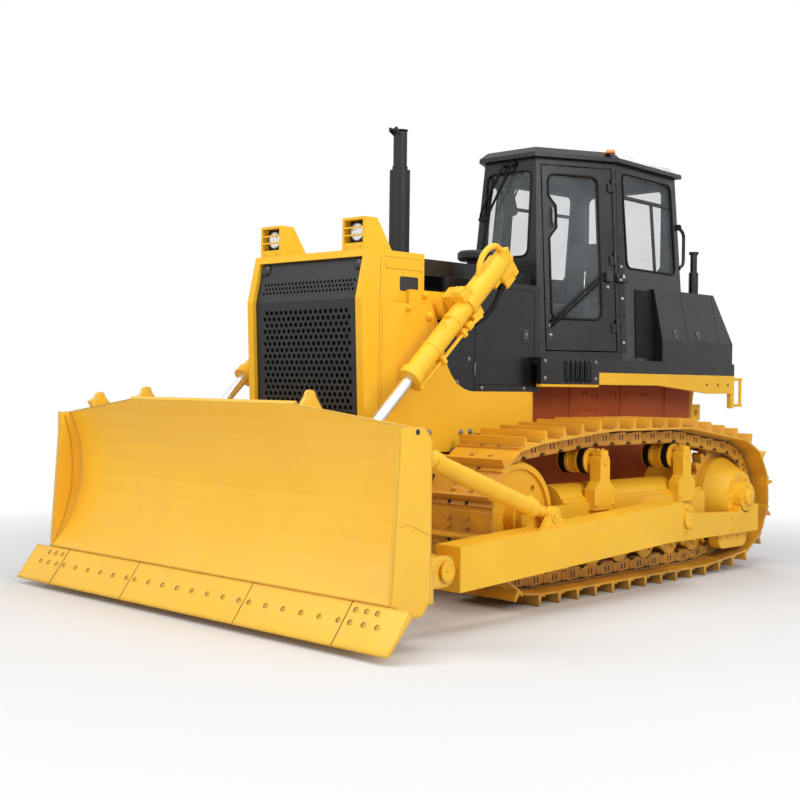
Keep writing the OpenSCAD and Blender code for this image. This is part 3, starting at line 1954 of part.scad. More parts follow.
translate([-mid_x, 0, 0]) {
    main_frame();
    engine_block();
    radiator_core();
    radiator_guard();
    grille();
    hood_rear();
    side_plates();
    cowl_panels();
    lamp_cases();
    lamp_lenses();
    exhaust_stack();
    rain_cap();
    precleaner();
    deck();
    deck_skirts();
    step_plates();
    side_boxes();
    fuel_tank();
    cab_frame();
    cab_glass();
    cab_roof();
    door_left();
    door_right();
    door_glass_left();
    door_glass_right();
    seat();
    console();
    track_left();
    track_right();
    sprockets();
    idlers();
    track_rollers();
    carrier_rollers();
    track_frames();
    final_drives();
    equalizer_bar();
    push_arms();
    braces();
    blade();
    cutting_edge();
    lift_brackets();
    lift_barrel_left();
    lift_barrel_right();
    lift_rod_left();
    lift_rod_right();
    drawbar();
}
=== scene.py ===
import math

import bmesh
import bpy
from mathutils import Matrix, Vector


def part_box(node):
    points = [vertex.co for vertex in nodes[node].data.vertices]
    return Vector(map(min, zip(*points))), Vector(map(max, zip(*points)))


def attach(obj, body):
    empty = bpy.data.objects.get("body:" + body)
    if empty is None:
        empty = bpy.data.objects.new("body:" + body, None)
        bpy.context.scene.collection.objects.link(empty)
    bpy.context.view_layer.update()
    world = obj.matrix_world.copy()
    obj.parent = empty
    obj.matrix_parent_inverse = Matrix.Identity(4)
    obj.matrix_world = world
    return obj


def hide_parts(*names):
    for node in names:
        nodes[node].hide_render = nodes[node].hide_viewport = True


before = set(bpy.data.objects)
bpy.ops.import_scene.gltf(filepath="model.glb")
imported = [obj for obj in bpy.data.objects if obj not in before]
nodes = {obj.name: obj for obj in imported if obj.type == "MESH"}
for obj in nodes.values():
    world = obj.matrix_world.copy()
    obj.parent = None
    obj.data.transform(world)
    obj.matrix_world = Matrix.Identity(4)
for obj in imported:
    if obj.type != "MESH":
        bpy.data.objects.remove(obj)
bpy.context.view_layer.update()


def reach(name):
    """How far a node reaches to the left of the machine's middle, in millimetres."""
    return round(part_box(name)[1].y * 1000)


def middle(name, axis):
    """The middle of a node's box along an axis, in millimetres."""
    low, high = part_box(name)
    return round((low[axis] + high[axis]) * 500)


# Places are in millimetres: x forward from the sprocket axle, y to the left, z up from the ground.
low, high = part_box("sprockets")
AXLE = (low.x + high.x) / 2
AXLE_Z = middle("sprockets", 2)
TRACK_Y = middle("track_left", 1)
CARRIER_Z = middle("carrier_rollers", 2)
HOOD_Y = reach("radiator_guard")
PLATE_Y = reach("side_plates")
DECK_Y = reach("deck")
HULL_Y = reach("main_frame")
BLADE_Y = reach("blade")
HUB_Y = reach("final_drives")
FLOOR_Z, ROOF_Z = (round(corner.z * 1000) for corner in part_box("cab_frame"))
FORE, AFT, LEFT, UP = (1, 0, 0), (-1, 0, 0), (0, 1, 0), (0, 0, 1)


def at(x, y, z):
    """A place in the frame, in metres."""
    return Vector((AXLE + x / 1000, y / 1000, z / 1000))


def show(thing):
    """Puts an object into the scene."""
    bpy.context.scene.collection.objects.link(thing)


# Camera, floor and light

CAMERA_PLACE = (9748.2, 6490.1, 1492.4)
YAW, PITCH, ROLL = (math.radians(angle) for angle in (44.69, 0.12, 0.76))
SENSOR, LENS = 36, 57.83
SHIFT_X, SHIFT_Y = 0.0486, -0.0184
SKY, SKY_STRENGTH = (0.93, 0.96, 1.0, 1), 0.34
WHITE = (1, 1, 1, 1)
FLOOR_HALF, FLOOR_GREY = 60, (0.68, 0.68, 0.68, 1)
SHADOW_NEAR, SHADOW_FAR = 3.2, 6.4
# Place and target in metres, size, watts and colour of each lamp
LAMPS = {
    "key": ((7.5, -2.5, 8.5), (0.2, 0, 1.2), 6.0, 430, (1, 0.98, 0.95)),
    "side": ((2.0, 9.5, 6.5), (0, 0, 1.2), 6.0, 540, (1, 1, 1)),
    "front": ((10.0, 3.0, 2.6), (1.0, 0, 1.3), 5.0, 190, (1, 0.99, 0.97)),
    "top": ((0.5, 2.5, 9.0), (0.3, 0.8, 0.6), 6.0, 300, (1, 1, 1)),
    "back": ((-8.0, -4.0, 7.0), (0, 0, 1.5), 5.0, 300, (0.95, 0.97, 1)),
}


def make_camera():
    ahead = Vector((-math.cos(YAW) * math.cos(PITCH), -math.sin(YAW) * math.cos(PITCH), -math.sin(PITCH)))
    right = ahead.cross(Vector(UP)).normalized()
    up = right.cross(ahead)
    side = right * math.cos(ROLL) + up * math.sin(ROLL)
    up = side.cross(ahead)
    data = bpy.data.cameras.new("camera")
    data.sensor_width = SENSOR
    data.lens = LENS
    data.shift_x = SHIFT_X
    data.shift_y = SHIFT_Y
    data.clip_end = 200
    camera = bpy.data.objects.new("camera", data)
    turn = Matrix((side, up, -ahead)).transposed().to_4x4()
    camera.matrix_world = Matrix.Translation(at(*CAMERA_PLACE)) @ turn
    show(camera)
    bpy.context.scene.camera = camera


def fresh(tree, kind):
    """A new shader node."""
    return tree.nodes.new("ShaderNode" + kind)


def mixed_shader(tree, share, a, b):
    mix = fresh(tree, "MixShader")
    tree.links.new(share, mix.inputs[0])
    tree.links.new(a.outputs[0], mix.inputs[1])
    tree.links.new(b.outputs[0], mix.inputs[2])
    return mix.outputs[0]


def make_world():
    """A pale sky that shows as plain white to camera, glossy and transmission rays."""
    world = bpy.data.worlds.new("studio")
    bpy.context.scene.world = world
    world.use_nodes = True
    tree = world.node_tree
    sky = tree.nodes["Background"]
    sky.inputs["Color"].default_value = SKY
    sky.inputs["Strength"].default_value = SKY_STRENGTH
    white = fresh(tree, "Background")
    white.inputs["Color"].default_value = WHITE
    path = fresh(tree, "LightPath").outputs
    seen = times(tree, path["Is Camera Ray"], path["Is Glossy Ray"], "MAXIMUM")
    seen = times(tree, seen, path["Is Transmission Ray"], "MAXIMUM")
    tree.links.new(mixed_shader(tree, seen, sky, white), tree.nodes["World Output"].inputs["Surface"])


def make_floor():
    """A pale floor that takes the shadow near the machine and is plain white to the eye further off."""
    mesh = bpy.data.meshes.new("floor")
    corners = [(x * FLOOR_HALF, y * FLOOR_HALF, 0) for x, y in ((-1, -1), (1, -1), (1, 1), (-1, 1))]
    mesh.from_pydata(corners, [], [(0, 1, 2, 3)])
    floor = bpy.data.objects.new("floor", mesh)
    show(floor)
    mat, tree, shader = blank("floor")
    shader.inputs["Base Color"].default_value = FLOOR_GREY
    shader.inputs["Roughness"].default_value = 0.9
    shader.inputs["Specular IOR Level"].default_value = 0.1
    coord = fresh(tree, "TexCoord")
    distance = fresh(tree, "VectorMath")
    distance.operation = "LENGTH"
    tree.links.new(coord.outputs["Object"], distance.inputs[0])
    far = span(tree, distance.outputs["Value"], SHADOW_NEAR, SHADOW_FAR, 0, 1)
    path = fresh(tree, "LightPath")
    white = fresh(tree, "Emission")
    white.inputs["Color"].default_value = WHITE
    share = times(tree, far, path.outputs["Is Camera Ray"])
    surface = tree.nodes["Material Output"].inputs["Surface"]
    tree.links.new(mixed_shader(tree, share, shader, white), surface)
    mesh.materials.append(mat)


def make_lamp(name, place, target, size, watts, colour):
    data = bpy.data.lights.new(name, "AREA")
    data.shape = "DISK"
    data.size = size
    data.energy = watts
    data.color = colour
    lamp = bpy.data.objects.new(name, data)
    lamp.location = place
    lamp.rotation_euler = (Vector(target) - Vector(place)).to_track_quat("-Z", "Y").to_euler()
    show(lamp)


# Materials

def blank(name):
    mat = bpy.data.materials.new(name)
    mat.use_nodes = True
    tree = mat.node_tree
    return mat, tree, tree.nodes["Principled BSDF"]


def grain(tree, scale, detail, stretch=(1, 1, 1)):
    """A noise field fixed to the piece."""
    coord = fresh(tree, "TexCoord")
    mapping = fresh(tree, "Mapping")
    mapping.inputs["Scale"].default_value = stretch
    noise = fresh(tree, "TexNoise")
    noise.inputs["Scale"].default_value = scale
    noise.inputs["Detail"].default_value = detail
    tree.links.new(coord.outputs["Object"], mapping.inputs["Vector"])
    tree.links.new(mapping.outputs["Vector"], noise.inputs["Vector"])
    return noise.outputs["Fac"]


def span(tree, value, a, b, c, d):
    """Maps a value from a..b to c..d."""
    node = fresh(tree, "MapRange")
    for i, v in enumerate((a, b, c, d)):
        node.inputs[i + 1].default_value = v
    tree.links.new(value, node.inputs[0])
    return node.outputs[0]


def times(tree, a, b, operation="MULTIPLY"):
    """The product of two links, or the outcome of another operation on them."""
    node = fresh(tree, "Math")
    node.operation = operation
    tree.links.new(a, node.inputs[0])
    tree.links.new(b, node.inputs[1])
    return node.outputs[0]


def blend_colour(tree, share, a, b):
    """Mixes two colours, each a value or a link."""
    node = fresh(tree, "Mix")
    node.data_type = "RGBA"
    tree.links.new(share, node.inputs["Factor"])
    for socket, colour in ((node.inputs[6], a), (node.inputs[7], b)):
        if isinstance(colour, tuple):
            socket.default_value = (*colour, 1)
        else:
            tree.links.new(colour, socket)
    return node.outputs[2]


def place_on(tree, axis):
    """The place on a piece along one axis, in metres."""
    coord = fresh(tree, "TexCoord")
    split = fresh(tree, "SeparateXYZ")
    tree.links.new(coord.outputs["Object"], split.inputs[0])
    return split.outputs[axis]


def low_down(tree, top):
    """One at the ground, fading to zero at the given height in metres."""
    return span(tree, place_on(tree, "Z"), top, 0, 0, 1)


def edges(tree, radius):
    """One on sharp edges, zero on flats, with the eased normal."""
    bevel = fresh(tree, "Bevel")
    bevel.samples = 4
    bevel.inputs["Radius"].default_value = radius
    geo = fresh(tree, "NewGeometry")
    dot = fresh(tree, "VectorMath")
    dot.operation = "DOT_PRODUCT"
    tree.links.new(bevel.outputs[0], dot.inputs[0])
    tree.links.new(geo.outputs["Normal"], dot.inputs[1])
    return span(tree, dot.outputs["Value"], 0.97, 0.8, 0, 1), bevel.outputs[0]


def bumped(tree, shader, height, strength, depth, normal=None):
    bump = fresh(tree, "Bump")
    bump.inputs["Strength"].default_value = strength
    bump.inputs["Distance"].default_value = depth
    tree.links.new(height, bump.inputs["Height"])
    if normal is not None:
        tree.links.new(normal, bump.inputs["Normal"])
    tree.links.new(bump.outputs[0], shader.inputs["Normal"])


def paint(name, colour, shade, rough, dust, soil, edge_highlight, highlight_colour, dust_top=1.2, ease=0.005,
          sheen=0.5, corner_shade=0.0, tail=None):
    """Sprayed paint: slow changes of tone, dust low down, painted shade in corners, edges lightened as a
    painted highlight, and orange peel.
    """
    mat, tree, shader = blank(name)
    tone = blend_colour(tree, span(tree, grain(tree, 1.7, 5), 0.35, 0.7, 0, 1), colour, shade)
    dirt = times(tree, span(tree, grain(tree, 7, 9), 0.42, 0.72, 0, dust), low_down(tree, dust_top))
    tone = blend_colour(tree, dirt, tone, soil)
    # Painted shade: the soil colour darkens corners and recesses that ambient occlusion finds.
    if corner_shade:
        near = fresh(tree, "AmbientOcclusion")
        near.samples = 4
        near.inputs["Distance"].default_value = SHADE_REACH
        painted_shade = span(tree, near.outputs["AO"], 0.3, 0.85, corner_shade, 0)
        tone = blend_colour(tree, painted_shade, tone, soil)
    # On the hull, the darker colour in front of the axle is painted shade, and the tail behind it keeps the
    # yellow.
    if tail:
        behind = span(tree, place_on(tree, "X"), AXLE - TAIL_FROM, AXLE - TAIL_TO, 0, 1)
        tone = blend_colour(tree, behind, tone, tail)
    # Painted highlight: sharp edges are lightened towards the highlight colour.
    rim, eased_normal = edges(tree, ease)
    highlighted = times(tree, rim, span(tree, grain(tree, 23, 6), 0.45, 0.65, 0, edge_highlight))
    tone = blend_colour(tree, highlighted, tone, highlight_colour)
    tree.links.new(tone, shader.inputs["Base Color"])
    gloss = span(tree, grain(tree, 11, 6), 0.3, 0.75, rough - 0.07, rough + 0.1)
    tree.links.new(gloss, shader.inputs["Roughness"])
    shader.inputs["Specular IOR Level"].default_value = sheen
    bumped(tree, shader, grain(tree, 210, 2), 0.06, 0.002, eased_normal)
    return mat


def metal(name, colour, shade, rough, scratch=(1, 1, 1), dust=0.0):
    """Bare steel with grinding marks and dust."""
    mat, tree, shader = blank(name)
    tone = blend_colour(tree, span(tree, grain(tree, 14, 8, scratch), 0.35, 0.65, 0, 1), colour, shade)
    dirt = times(tree, span(tree, grain(tree, 9, 9), 0.4, 0.7, 0, dust), low_down(tree, 1.2))
    tone = blend_colour(tree, dirt, tone, EARTH)
    tree.links.new(tone, shader.inputs["Base Color"])
    shader.inputs["Metallic"].default_value = 0.85
    gloss = span(tree, grain(tree, 40, 6, scratch), 0.3, 0.7, rough - 0.08, rough + 0.12)
    tree.links.new(gloss, shader.inputs["Roughness"])
    bumped(tree, shader, grain(tree, 90, 4, scratch), 0.08, 0.001, edges(tree, 0.004)[1])
    return mat


def glass(name, colour, alpha):
    """Window glass that shows the cab behind it, with a film of dust."""
    mat, tree, shader = blank(name)
    film = span(tree, grain(tree, 3, 6), 0.35, 0.75, 0.015, 0.05)
    tree.links.new(film, shader.inputs["Roughness"])
    shader.inputs["Base Color"].default_value = (*colour, 1)
    shader.inputs["Specular IOR Level"].default_value = 0.6
    cover = span(tree, grain(tree, 2.3, 6), 0.35, 0.7, alpha - 0.02, alpha + 0.03)
    tree.links.new(cover, shader.inputs["Alpha"])
    return mat


def moulded(name, colour, shade, rough, scale, sheen=0.5):
    """Moulded plastic or rubber with a fine texture."""
    mat, tree, shader = blank(name)
    tone = blend_colour(tree, span(tree, grain(tree, 6, 6), 0.35, 0.7, 0, 1), colour, shade)
    tree.links.new(tone, shader.inputs["Base Color"])
    gloss = span(tree, grain(tree, scale, 3), 0.3, 0.7, rough - 0.1, rough + 0.1)
    tree.links.new(gloss, shader.inputs["Roughness"])
    shader.inputs["Specular IOR Level"].default_value = sheen
    bumped(tree, shader, grain(tree, scale, 3), 0.25, 0.001)
    return mat


YELLOW = (0.90, 0.51, 0.030)
DUST = (0.45, 0.31, 0.13)
SOOT = (0.05, 0.046, 0.042)
EARTH = (0.22, 0.15, 0.09)
# In metres: reach of the painted shade in corners, and where the hull's painted shade gives way to yellow
# behind the axle
SHADE_REACH = 0.11
TAIL_FROM, TAIL_TO = 0.50, 0.57
MATS = {
    "yellow": paint("yellow_paint", YELLOW, (0.87, 0.475, 0.022), rough=0.34, dust=0.16, soil=DUST,
                    edge_highlight=0.3, highlight_colour=(1.0, 0.66, 0.14), sheen=0.22),
    "blade": paint("blade_paint", (0.90, 0.515, 0.036), (0.875, 0.485, 0.027), rough=0.40, dust=0.14,
                   soil=DUST, edge_highlight=0.4, highlight_colour=(0.90, 0.60, 0.20), ease=0.035),
    # The track paint carries painted shade in its corners and between its parts.
    "track": paint("track_paint", (0.82, 0.41, 0.018), (0.66, 0.30, 0.014), rough=0.46, dust=0.7,
                   soil=(0.26, 0.14, 0.05), edge_highlight=0.6, highlight_colour=(1.0, 0.68, 0.18), dust_top=1.4,
                   corner_shade=0.75),
    "black": paint("black_paint", (0.007, 0.0074, 0.0085), (0.011, 0.0114, 0.0125), rough=0.30, dust=0.2,
                   soil=SOOT, edge_highlight=0.5, highlight_colour=(0.07, 0.07, 0.08), dust_top=2.6, sheen=0.36),
    "grille": paint("grille_paint", (0.019, 0.0215, 0.024), (0.025, 0.0275, 0.030), rough=0.34, dust=0.2,
                    soil=SOOT, edge_highlight=0.4, highlight_colour=(0.09, 0.09, 0.10), dust_top=2.0, sheen=0.36),
    "matt": paint("heat_paint", (0.007, 0.007, 0.008), (0.013, 0.0125, 0.012), rough=0.52, dust=0.3,
                  soil=(0.06, 0.05, 0.045), edge_highlight=0.4, highlight_colour=(0.06, 0.055, 0.05), dust_top=3.4,
                  sheen=0.35),
    # The hull under the deck is painted dark red-brown as painted shade where its paint is yellow; its tail
    # behind the axle is yellow.
    "shade": paint("frame_painted_shade", (0.46, 0.092, 0.013), (0.37, 0.070, 0.012), rough=0.55, dust=0.4,
                   soil=(0.12, 0.05, 0.022), edge_highlight=0.2, highlight_colour=(0.4, 0.18, 0.06), sheen=0.25,
                   tail=YELLOW),
    "steel": metal("dark_steel", (0.16, 0.15, 0.14), (0.09, 0.08, 0.075), 0.42, dust=0.4),
    "core": metal("fin_steel", (0.05, 0.05, 0.05), (0.03, 0.03, 0.03), 0.5, (1, 30, 1)),
    "rod": metal("rod_chrome", (0.86, 0.87, 0.88), (0.78, 0.79, 0.80), 0.17, (1, 1, 12)),
    "bulb": moulded("lamp_bowl_painted_glow", (0.95, 0.95, 0.94), (0.90, 0.90, 0.89), 0.3, 60),
    "glass": glass("window_glass", (0.30, 0.34, 0.36), 0.13),
    "lens": glass("lamp_glass", (0.95, 0.95, 0.92), 0.25),
    "seat": moulded("seat_cover", (0.028, 0.028, 0.030), (0.045, 0.044, 0.043), 0.72, 140),
    "trim": moulded("trim_plastic", (0.020, 0.020, 0.021), (0.034, 0.034, 0.035), 0.55, 260, 0.35),
    "rubber": moulded("rubber", (0.005, 0.005, 0.005), (0.009, 0.009, 0.009), 0.62, 180, 0.15),
    "zinc": metal("zinc_plate", (0.34, 0.33, 0.31), (0.22, 0.21, 0.20), 0.38),
    # Dark grime for joints and panel lines, also used as painted shade in holes, slots and gaps.
    "dirt": moulded("grime_and_painted_shade", (0.030, 0.020, 0.012), (0.050, 0.032, 0.018), 0.8, 120),
    "amber": moulded("amber_lens", (0.80, 0.25, 0.01), (0.70, 0.18, 0.008), 0.25, 60),
}
# The lamp bowls and lenses glow white as a painted reflection of bright light.
for key, strength in (("bulb", 0.8), ("lens", 0.25)):
    glow = MATS[key].node_tree.nodes["Principled BSDF"]
    glow.inputs["Emission Color"].default_value = WHITE
    glow.inputs["Emission Strength"].default_value = strength
FINISH = {
    "yellow": "radiator_guard side_plates lamp_cases deck_skirts push_arms braces lift_brackets "
              "lift_barrel_left lift_barrel_right track_frames final_drives track_rollers carrier_rollers "
              "idlers equalizer_bar drawbar",
    "blade": "blade cutting_edge",
    "track": "track_left track_right sprockets",
    "grille": "grille",
    "black": "hood_rear cowl_panels deck step_plates side_boxes fuel_tank cab_frame cab_roof "
             "door_left door_right",
    "matt": "exhaust_stack rain_cap precleaner",
    "shade": "main_frame",
    "steel": "engine_block",
    "core": "radiator_core",
    "rod": "lift_rod_left lift_rod_right",
    "glass": "cab_glass door_glass_left door_glass_right",
    "lens": "lamp_lenses",
    "seat": "seat",
    "trim": "console",
}


# Mesh building

# Faces that meet at less than this angle, in radians, look like one
SMOOTH = 0.6


class Kit:
    """Collects shapes, in millimetres, into one piece."""

    def __init__(self):
        self.points = []
        self.faces = []

    def rings(self, rings, close=False):
        """Skins rings of equal length, one after the other, and caps the ends."""
        n = len(rings[0])
        base = len(self.points)
        for ring in rings:
            self.points.extend(ring)
        count = len(rings)
        for j in range(count if close else count - 1):
            a = base + j * n
            b = base + (j + 1) % count * n
            for i in range(n):
                k = (i + 1) % n
                self.faces.append((a + i, a + k, b + k, b + i))
        if not close:
            self.faces.append(tuple(base + i for i in reversed(range(n))))
            self.faces.append(tuple(base + (count - 1) * n + i for i in range(n)))

    def tube(self, path, r, n=12, close=False):
        """A round bar or pipe along a path, with its bends eased."""
        path = [Vector(p) for p in path]
        if not close:
            path = eased(path, r * 3)
        count = len(path)
        side = None
        rings = []
        for i, p in enumerate(path):
            before = path[i - 1] if close or i else p
            after = path[(i + 1) % count] if close or i < count - 1 else p
            along = (after - before).normalized()
            if side is None:
                side = along.orthogonal().normalized()
            side = (side - along * side.dot(along)).normalized()
            rings.append(circle(p, side, along.cross(side), r, n))
        self.rings(rings, close)

    def lathe(self, place, axis, profile, n=24, close=False):
        """A turned shape, or a closed ring: radii and heights along an axis from a place."""
        place, axis = Vector(place), Vector(axis).normalized()
        side = axis.orthogonal().normalized()
        other = axis.cross(side)
        self.rings([circle(place + axis * h, side, other, r, n) for r, h in profile], close)

    def bolt(self, place, axis, r=12, h=9):
        """A washer with a six-sided head on it."""
        self.lathe(place, axis, [(r * 1.45, -2), (r * 1.45, h * 0.25), (r * 1.1, h * 0.3)], 16)
        self.lathe(place, axis, [(r, h * 0.25), (r, h * 0.9), (r * 0.82, h)], 6)

    def plate(self, outline, place, u, v, thick):
        """A flat plate with an outline in the plane of u and v, raised by its thickness along u x v."""
        place, u, v = Vector(place), Vector(u).normalized(), Vector(v).normalized()
        up = u.cross(v) * thick
        ring = [place + u * a + v * b for a, b in outline]
        self.rings([ring, [p + up for p in ring]])

    def box(self, low, high, ease=3):
        """A block with chamfered edges."""
        low, high = Vector(low), Vector(high)
        mid, half = (low + high) / 2, (high - low) / 2
        rings = []
        for end, inset in ((-1, ease), (-1, 0), (1, 0), (1, ease)):
            z = end * (half.z if inset else half.z - ease)
            a, b = half.x - inset, half.y - inset
            c, d = a - ease, b - ease
            ring = [(c, b), (-c, b), (-a, d), (-a, -d), (-c, -b), (c, -b), (a, -d), (a, d)]
            rings.append([mid + Vector((x, y, z)) for x, y in ring])
        self.rings(rings)

    def placed(self, matrix, other):
        """Adds another kit, moved by a matrix."""
        base = len(self.points)
        self.points.extend(matrix @ Vector(p) for p in other.points)
        self.faces.extend(tuple(base + i for i in f) for f in other.faces)

    def mirrored(self):
        """The same kit on the other side of the machine."""
        other = Kit()
        other.points = [Vector((p[0], -p[1], p[2])) for p in self.points]
        other.faces = [tuple(reversed(f)) for f in self.faces]
        return other

    def both(self):
        self.placed(Matrix.Identity(4), self.mirrored())
        return self

    def make(self, name, finish, body="chassis"):
        """Makes the piece, with its sharp edges kept, and lets it ride on a body."""
        mesh = bpy.data.meshes.new(name)
        mesh.from_pydata([at(*p) for p in self.points], [], self.faces)
        work = bmesh.new()
        work.from_mesh(mesh)
        bmesh.ops.recalc_face_normals(work, faces=work.faces)
        for edge in work.edges:
            edge.smooth = len(edge.link_faces) == 2 and edge.calc_face_angle() < SMOOTH
        for face in work.faces:
            face.smooth = True
        work.to_mesh(mesh)
        work.free()
        return add_piece(name, mesh, finish, body)

    def make_pair(self, name, finish, body):
        """Makes a piece on the left body and its mirror image on the right one."""
        self.make(name + "_left", finish, body + "_left")
        self.mirrored().make(name + "_right", finish, body + "_right")


def add_piece(name, mesh, finish, body):
    """Paints a mesh and lets it ride on a body as a named piece."""
    mesh.materials.append(MATS[finish])
    piece = bpy.data.objects.new(name, mesh)
    show(piece)
    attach(piece, body)
    return piece


def kits(count):
    """Empty kits, one for each piece."""
    return [Kit() for _ in range(count)]


def moved(matrix, kit):
    """A copy of a kit, moved by a matrix."""
    copy = Kit()
    copy.placed(matrix, kit)
    return copy


def circle(centre, side, other, r, n):
    """The points of a circle in the plane of two directions."""
    turns = [2 * math.pi * k / n for k in range(n)]
    return [centre + (side * math.cos(turn) + other * math.sin(turn)) * r for turn in turns]


def disc(r, h):
    """The profile of a flat disc."""
    return [(r, 0), (r, h), (0.5, h)]


def eased(path, r):
    """Rounds the corners of a path."""
    if len(path) < 3:
        return path
    out = [path[0]]
    for a, b, c in zip(path, path[1:], path[2:]):
        p = b + (a - b).normalized() * min(r, (a - b).length * 0.48)
        q = b + (c - b).normalized() * min(r, (c - b).length * 0.48)
        for k in range(6):
            t = k / 5
            out.append((p * (1 - t) + b * t) * (1 - t) + (b * (1 - t) + q * t) * t)
    out.append(path[-1])
    return out


def soft_outline(x0, y0, x1, y1, r, n=5):
    """A rectangle with round corners."""
    out = []
    centres = ((x1 - r, y1 - r), (x0 + r, y1 - r), (x0 + r, y0 + r), (x1 - r, y0 + r))
    for quarter, (cx, cy) in enumerate(centres):
        for k in range(n + 1):
            t = math.radians(90 * quarter + 90 * k / n)
            out.append((cx + r * math.cos(t), cy + r * math.sin(t)))
    return out


# Cab walls and windows

def wall(turn, foot, head):
    """The place of a cab wall: x out of the wall, y along it, z up it."""
    lean = math.atan2(foot - head, ROOF_Z - FLOOR_Z)
    turned = Matrix.Rotation(math.radians(turn), 4, "Z") @ Matrix.Translation((foot, 0, FLOOR_Z))
    return turned @ Matrix.Rotation(-lean, 4, "Y")


FRONT_WALL = wall(0, 1598, 1502)
DOOR_WALL = wall(64.1, 1031, 888)
SIDE_WALL = wall(93.9, 641, 514)
REAR_WALL = wall(180, 175, 175)
DOOR_Y0, DOOR_Y1, DOOR_Z0 = -1190, -562, 70
# Edge, sill, width and height of each window on its wall
FRONT_WINDOW = (-225, 820, 450, 690)
REAR_WINDOW = (-400, 800, 800, 720)
SIDE_WINDOW = (-800, 760, 840, 780)
WINDOW_R, RUBBER_R, RUBBER_X = 60, 9, 2


def gasket(kit, place, window):
    """Rubber round a window, on the outside of its wall."""
    y, z, width, height = window
    outline = soft_outline(y, z, y + width, z + height, WINDOW_R, 6)
    kit.tube([place @ Vector((RUBBER_X, a, b)) for a, b in outline], RUBBER_R, 8, close=True)


# The loop of the track chain, as its pins lie

SHOES, LINK_H, SHOE_T, GROUSER = 38, 114, 16, 72
SPROCKET_R, IDLER_R, CARRIER_R, CARRIER_GAP = 400, 443, 95, 8
FIRST_X, IDLER_X = 530, 2770
CARRIERS = (800, 1930)
PIN_Z = GROUSER + SHOE_T + LINK_H / 2
CARRY_Z = CARRIER_Z + CARRIER_R + LINK_H / 2 + CARRIER_GAP
ARC_STEPS = 24
# From the track's middle to the shoes' ends, the links' outer faces, the shoe bolts and the shoe holes
SHOE_HALF, LINK_FACE, SHOE_BOLT_Y, SHOE_HOLE_Y = 279, 112, 78, 74
PIN_BOSS = [(34, 0), (34, 15), (22, 16), (20, 12), (0.5, 12)]
LINK_SLOT = ((-7, -20), (7, -20), (7, 20), (-7, 20))


def arc(centre, r, start, end):
    """Points on an arc from one angle to another."""
    turns = [start + (end - start) * i / ARC_STEPS for i in range(ARC_STEPS + 1)]
    return [Vector((centre[0] + r * math.cos(turn), centre[1] + r * math.sin(turn))) for turn in turns]


def tangent(centre, r, point, side):
    """The angle at which a line from a point touches a circle."""
    away = Vector(point) - Vector(centre)
    return math.atan2(away.y, away.x) + side * math.acos(r / away.length)


def chain_pins():
    """The pins in order round the loop, and their pitch."""
    sprocket, idler = (0, AXLE_Z), (IDLER_X, PIN_Z + IDLER_R)
    first = (FIRST_X, PIN_Z)
    rear, front = ((x, CARRY_Z) for x in CARRIERS)
    low = tangent(sprocket, SPROCKET_R, first, -1)
    top = tangent(sprocket, SPROCKET_R, rear, 1) - 2 * math.pi
    bow = tangent(idler, IDLER_R, front, -1)
    loop = [Vector(first)] + arc(sprocket, SPROCKET_R, low, top)
    loop += [Vector(rear), Vector(front)] + arc(idler, IDLER_R, bow, -math.pi / 2)
    after = loop[1:] + loop[:1]
    steps = [(b - a).length for a, b in zip(loop, after)]
    pitch = sum(steps) / SHOES
    pins = []
    for k in range(SHOES):
        s = k * pitch
        i = 0
        while s > steps[i]:
            s -= steps[i]
            i += 1
        pins.append(loop[i] + (after[i] - loop[i]).normalized() * s)
    return pins, pitch


def half_ring(x, z, rx, rz, start):
    """Half an ellipse from an angle in degrees."""
    turns = [math.radians(start + 22.5 * i) for i in range(9)]
    return [(x + rx * math.cos(turn), z + rz * math.sin(turn)) for turn in turns]


def dress_shoe(pin, run, pitch, links, bolts, shaded_gaps, tails):
    """One shoe: its tail, its two link plates with slots, its bolts, and dark painted shade in the link gaps,
    the slots and its bolt holes.
    """
    out = Vector((-run.y, run.x))
    u, v = Vector((run.x, 0, run.y)), Vector((out.x, 0, out.y))
    top = LINK_H / 2 + SHOE_T
    tail, end = pitch * 0.87, pitch * 1.045

    def spot(share, h, y):
        place = pin + run * pitch * share + out * h
        return Vector((place.x, y, place.y))

    def slab(kit, share, outline, y0, y1):
        kit.rings([[spot(share, 0, y) + u * a + v * b for a, b in outline] for y in (y0, y1)])

    outline = [(tail, top - 2), (end, top - 6), (end, top + 11), (tail, top + 8)]
    slab(tails, 0, outline, TRACK_Y - SHOE_HALF, TRACK_Y + SHOE_HALF)
    ring = half_ring(pitch * 0.30, -4, 47, 46, 90) + half_ring(pitch * 0.80, -8, 40, 42, -90)
    shade_backing = ((0, -50), (pitch, -50), (pitch, 46), (0, 46))
    for side in (-1, 1):
        face = TRACK_Y + side * LINK_FACE
        slab(links, 0, ring, face - side, face + side * 9)
        links.lathe(spot(0.02, 0, face - side * 2), (0, side, 0), PIN_BOSS, 16)
        # A dark sheet of painted shade behind the links, seen in the gaps between them, and dark slabs of
        # painted shade in the links' slots.
        slab(shaded_gaps, 0, shade_backing, face + side * 0.3, face + side * 1.3)
        for share in (0.42, 0.60):
            slab(shaded_gaps, share, LINK_SLOT, face + side * 8, face + side * 9.6)
        for share in (0.26, 0.52):
            bolts.bolt(spot(share, top, TRACK_Y + side * SHOE_BOLT_Y), v, 15, 13)
        # The shoe's bolt hole is a dark disc of painted shade.
        shaded_gaps.lathe(spot(0.965, top + 9, TRACK_Y + side * SHOE_HOLE_Y), v, disc(16, 1.8), 16)


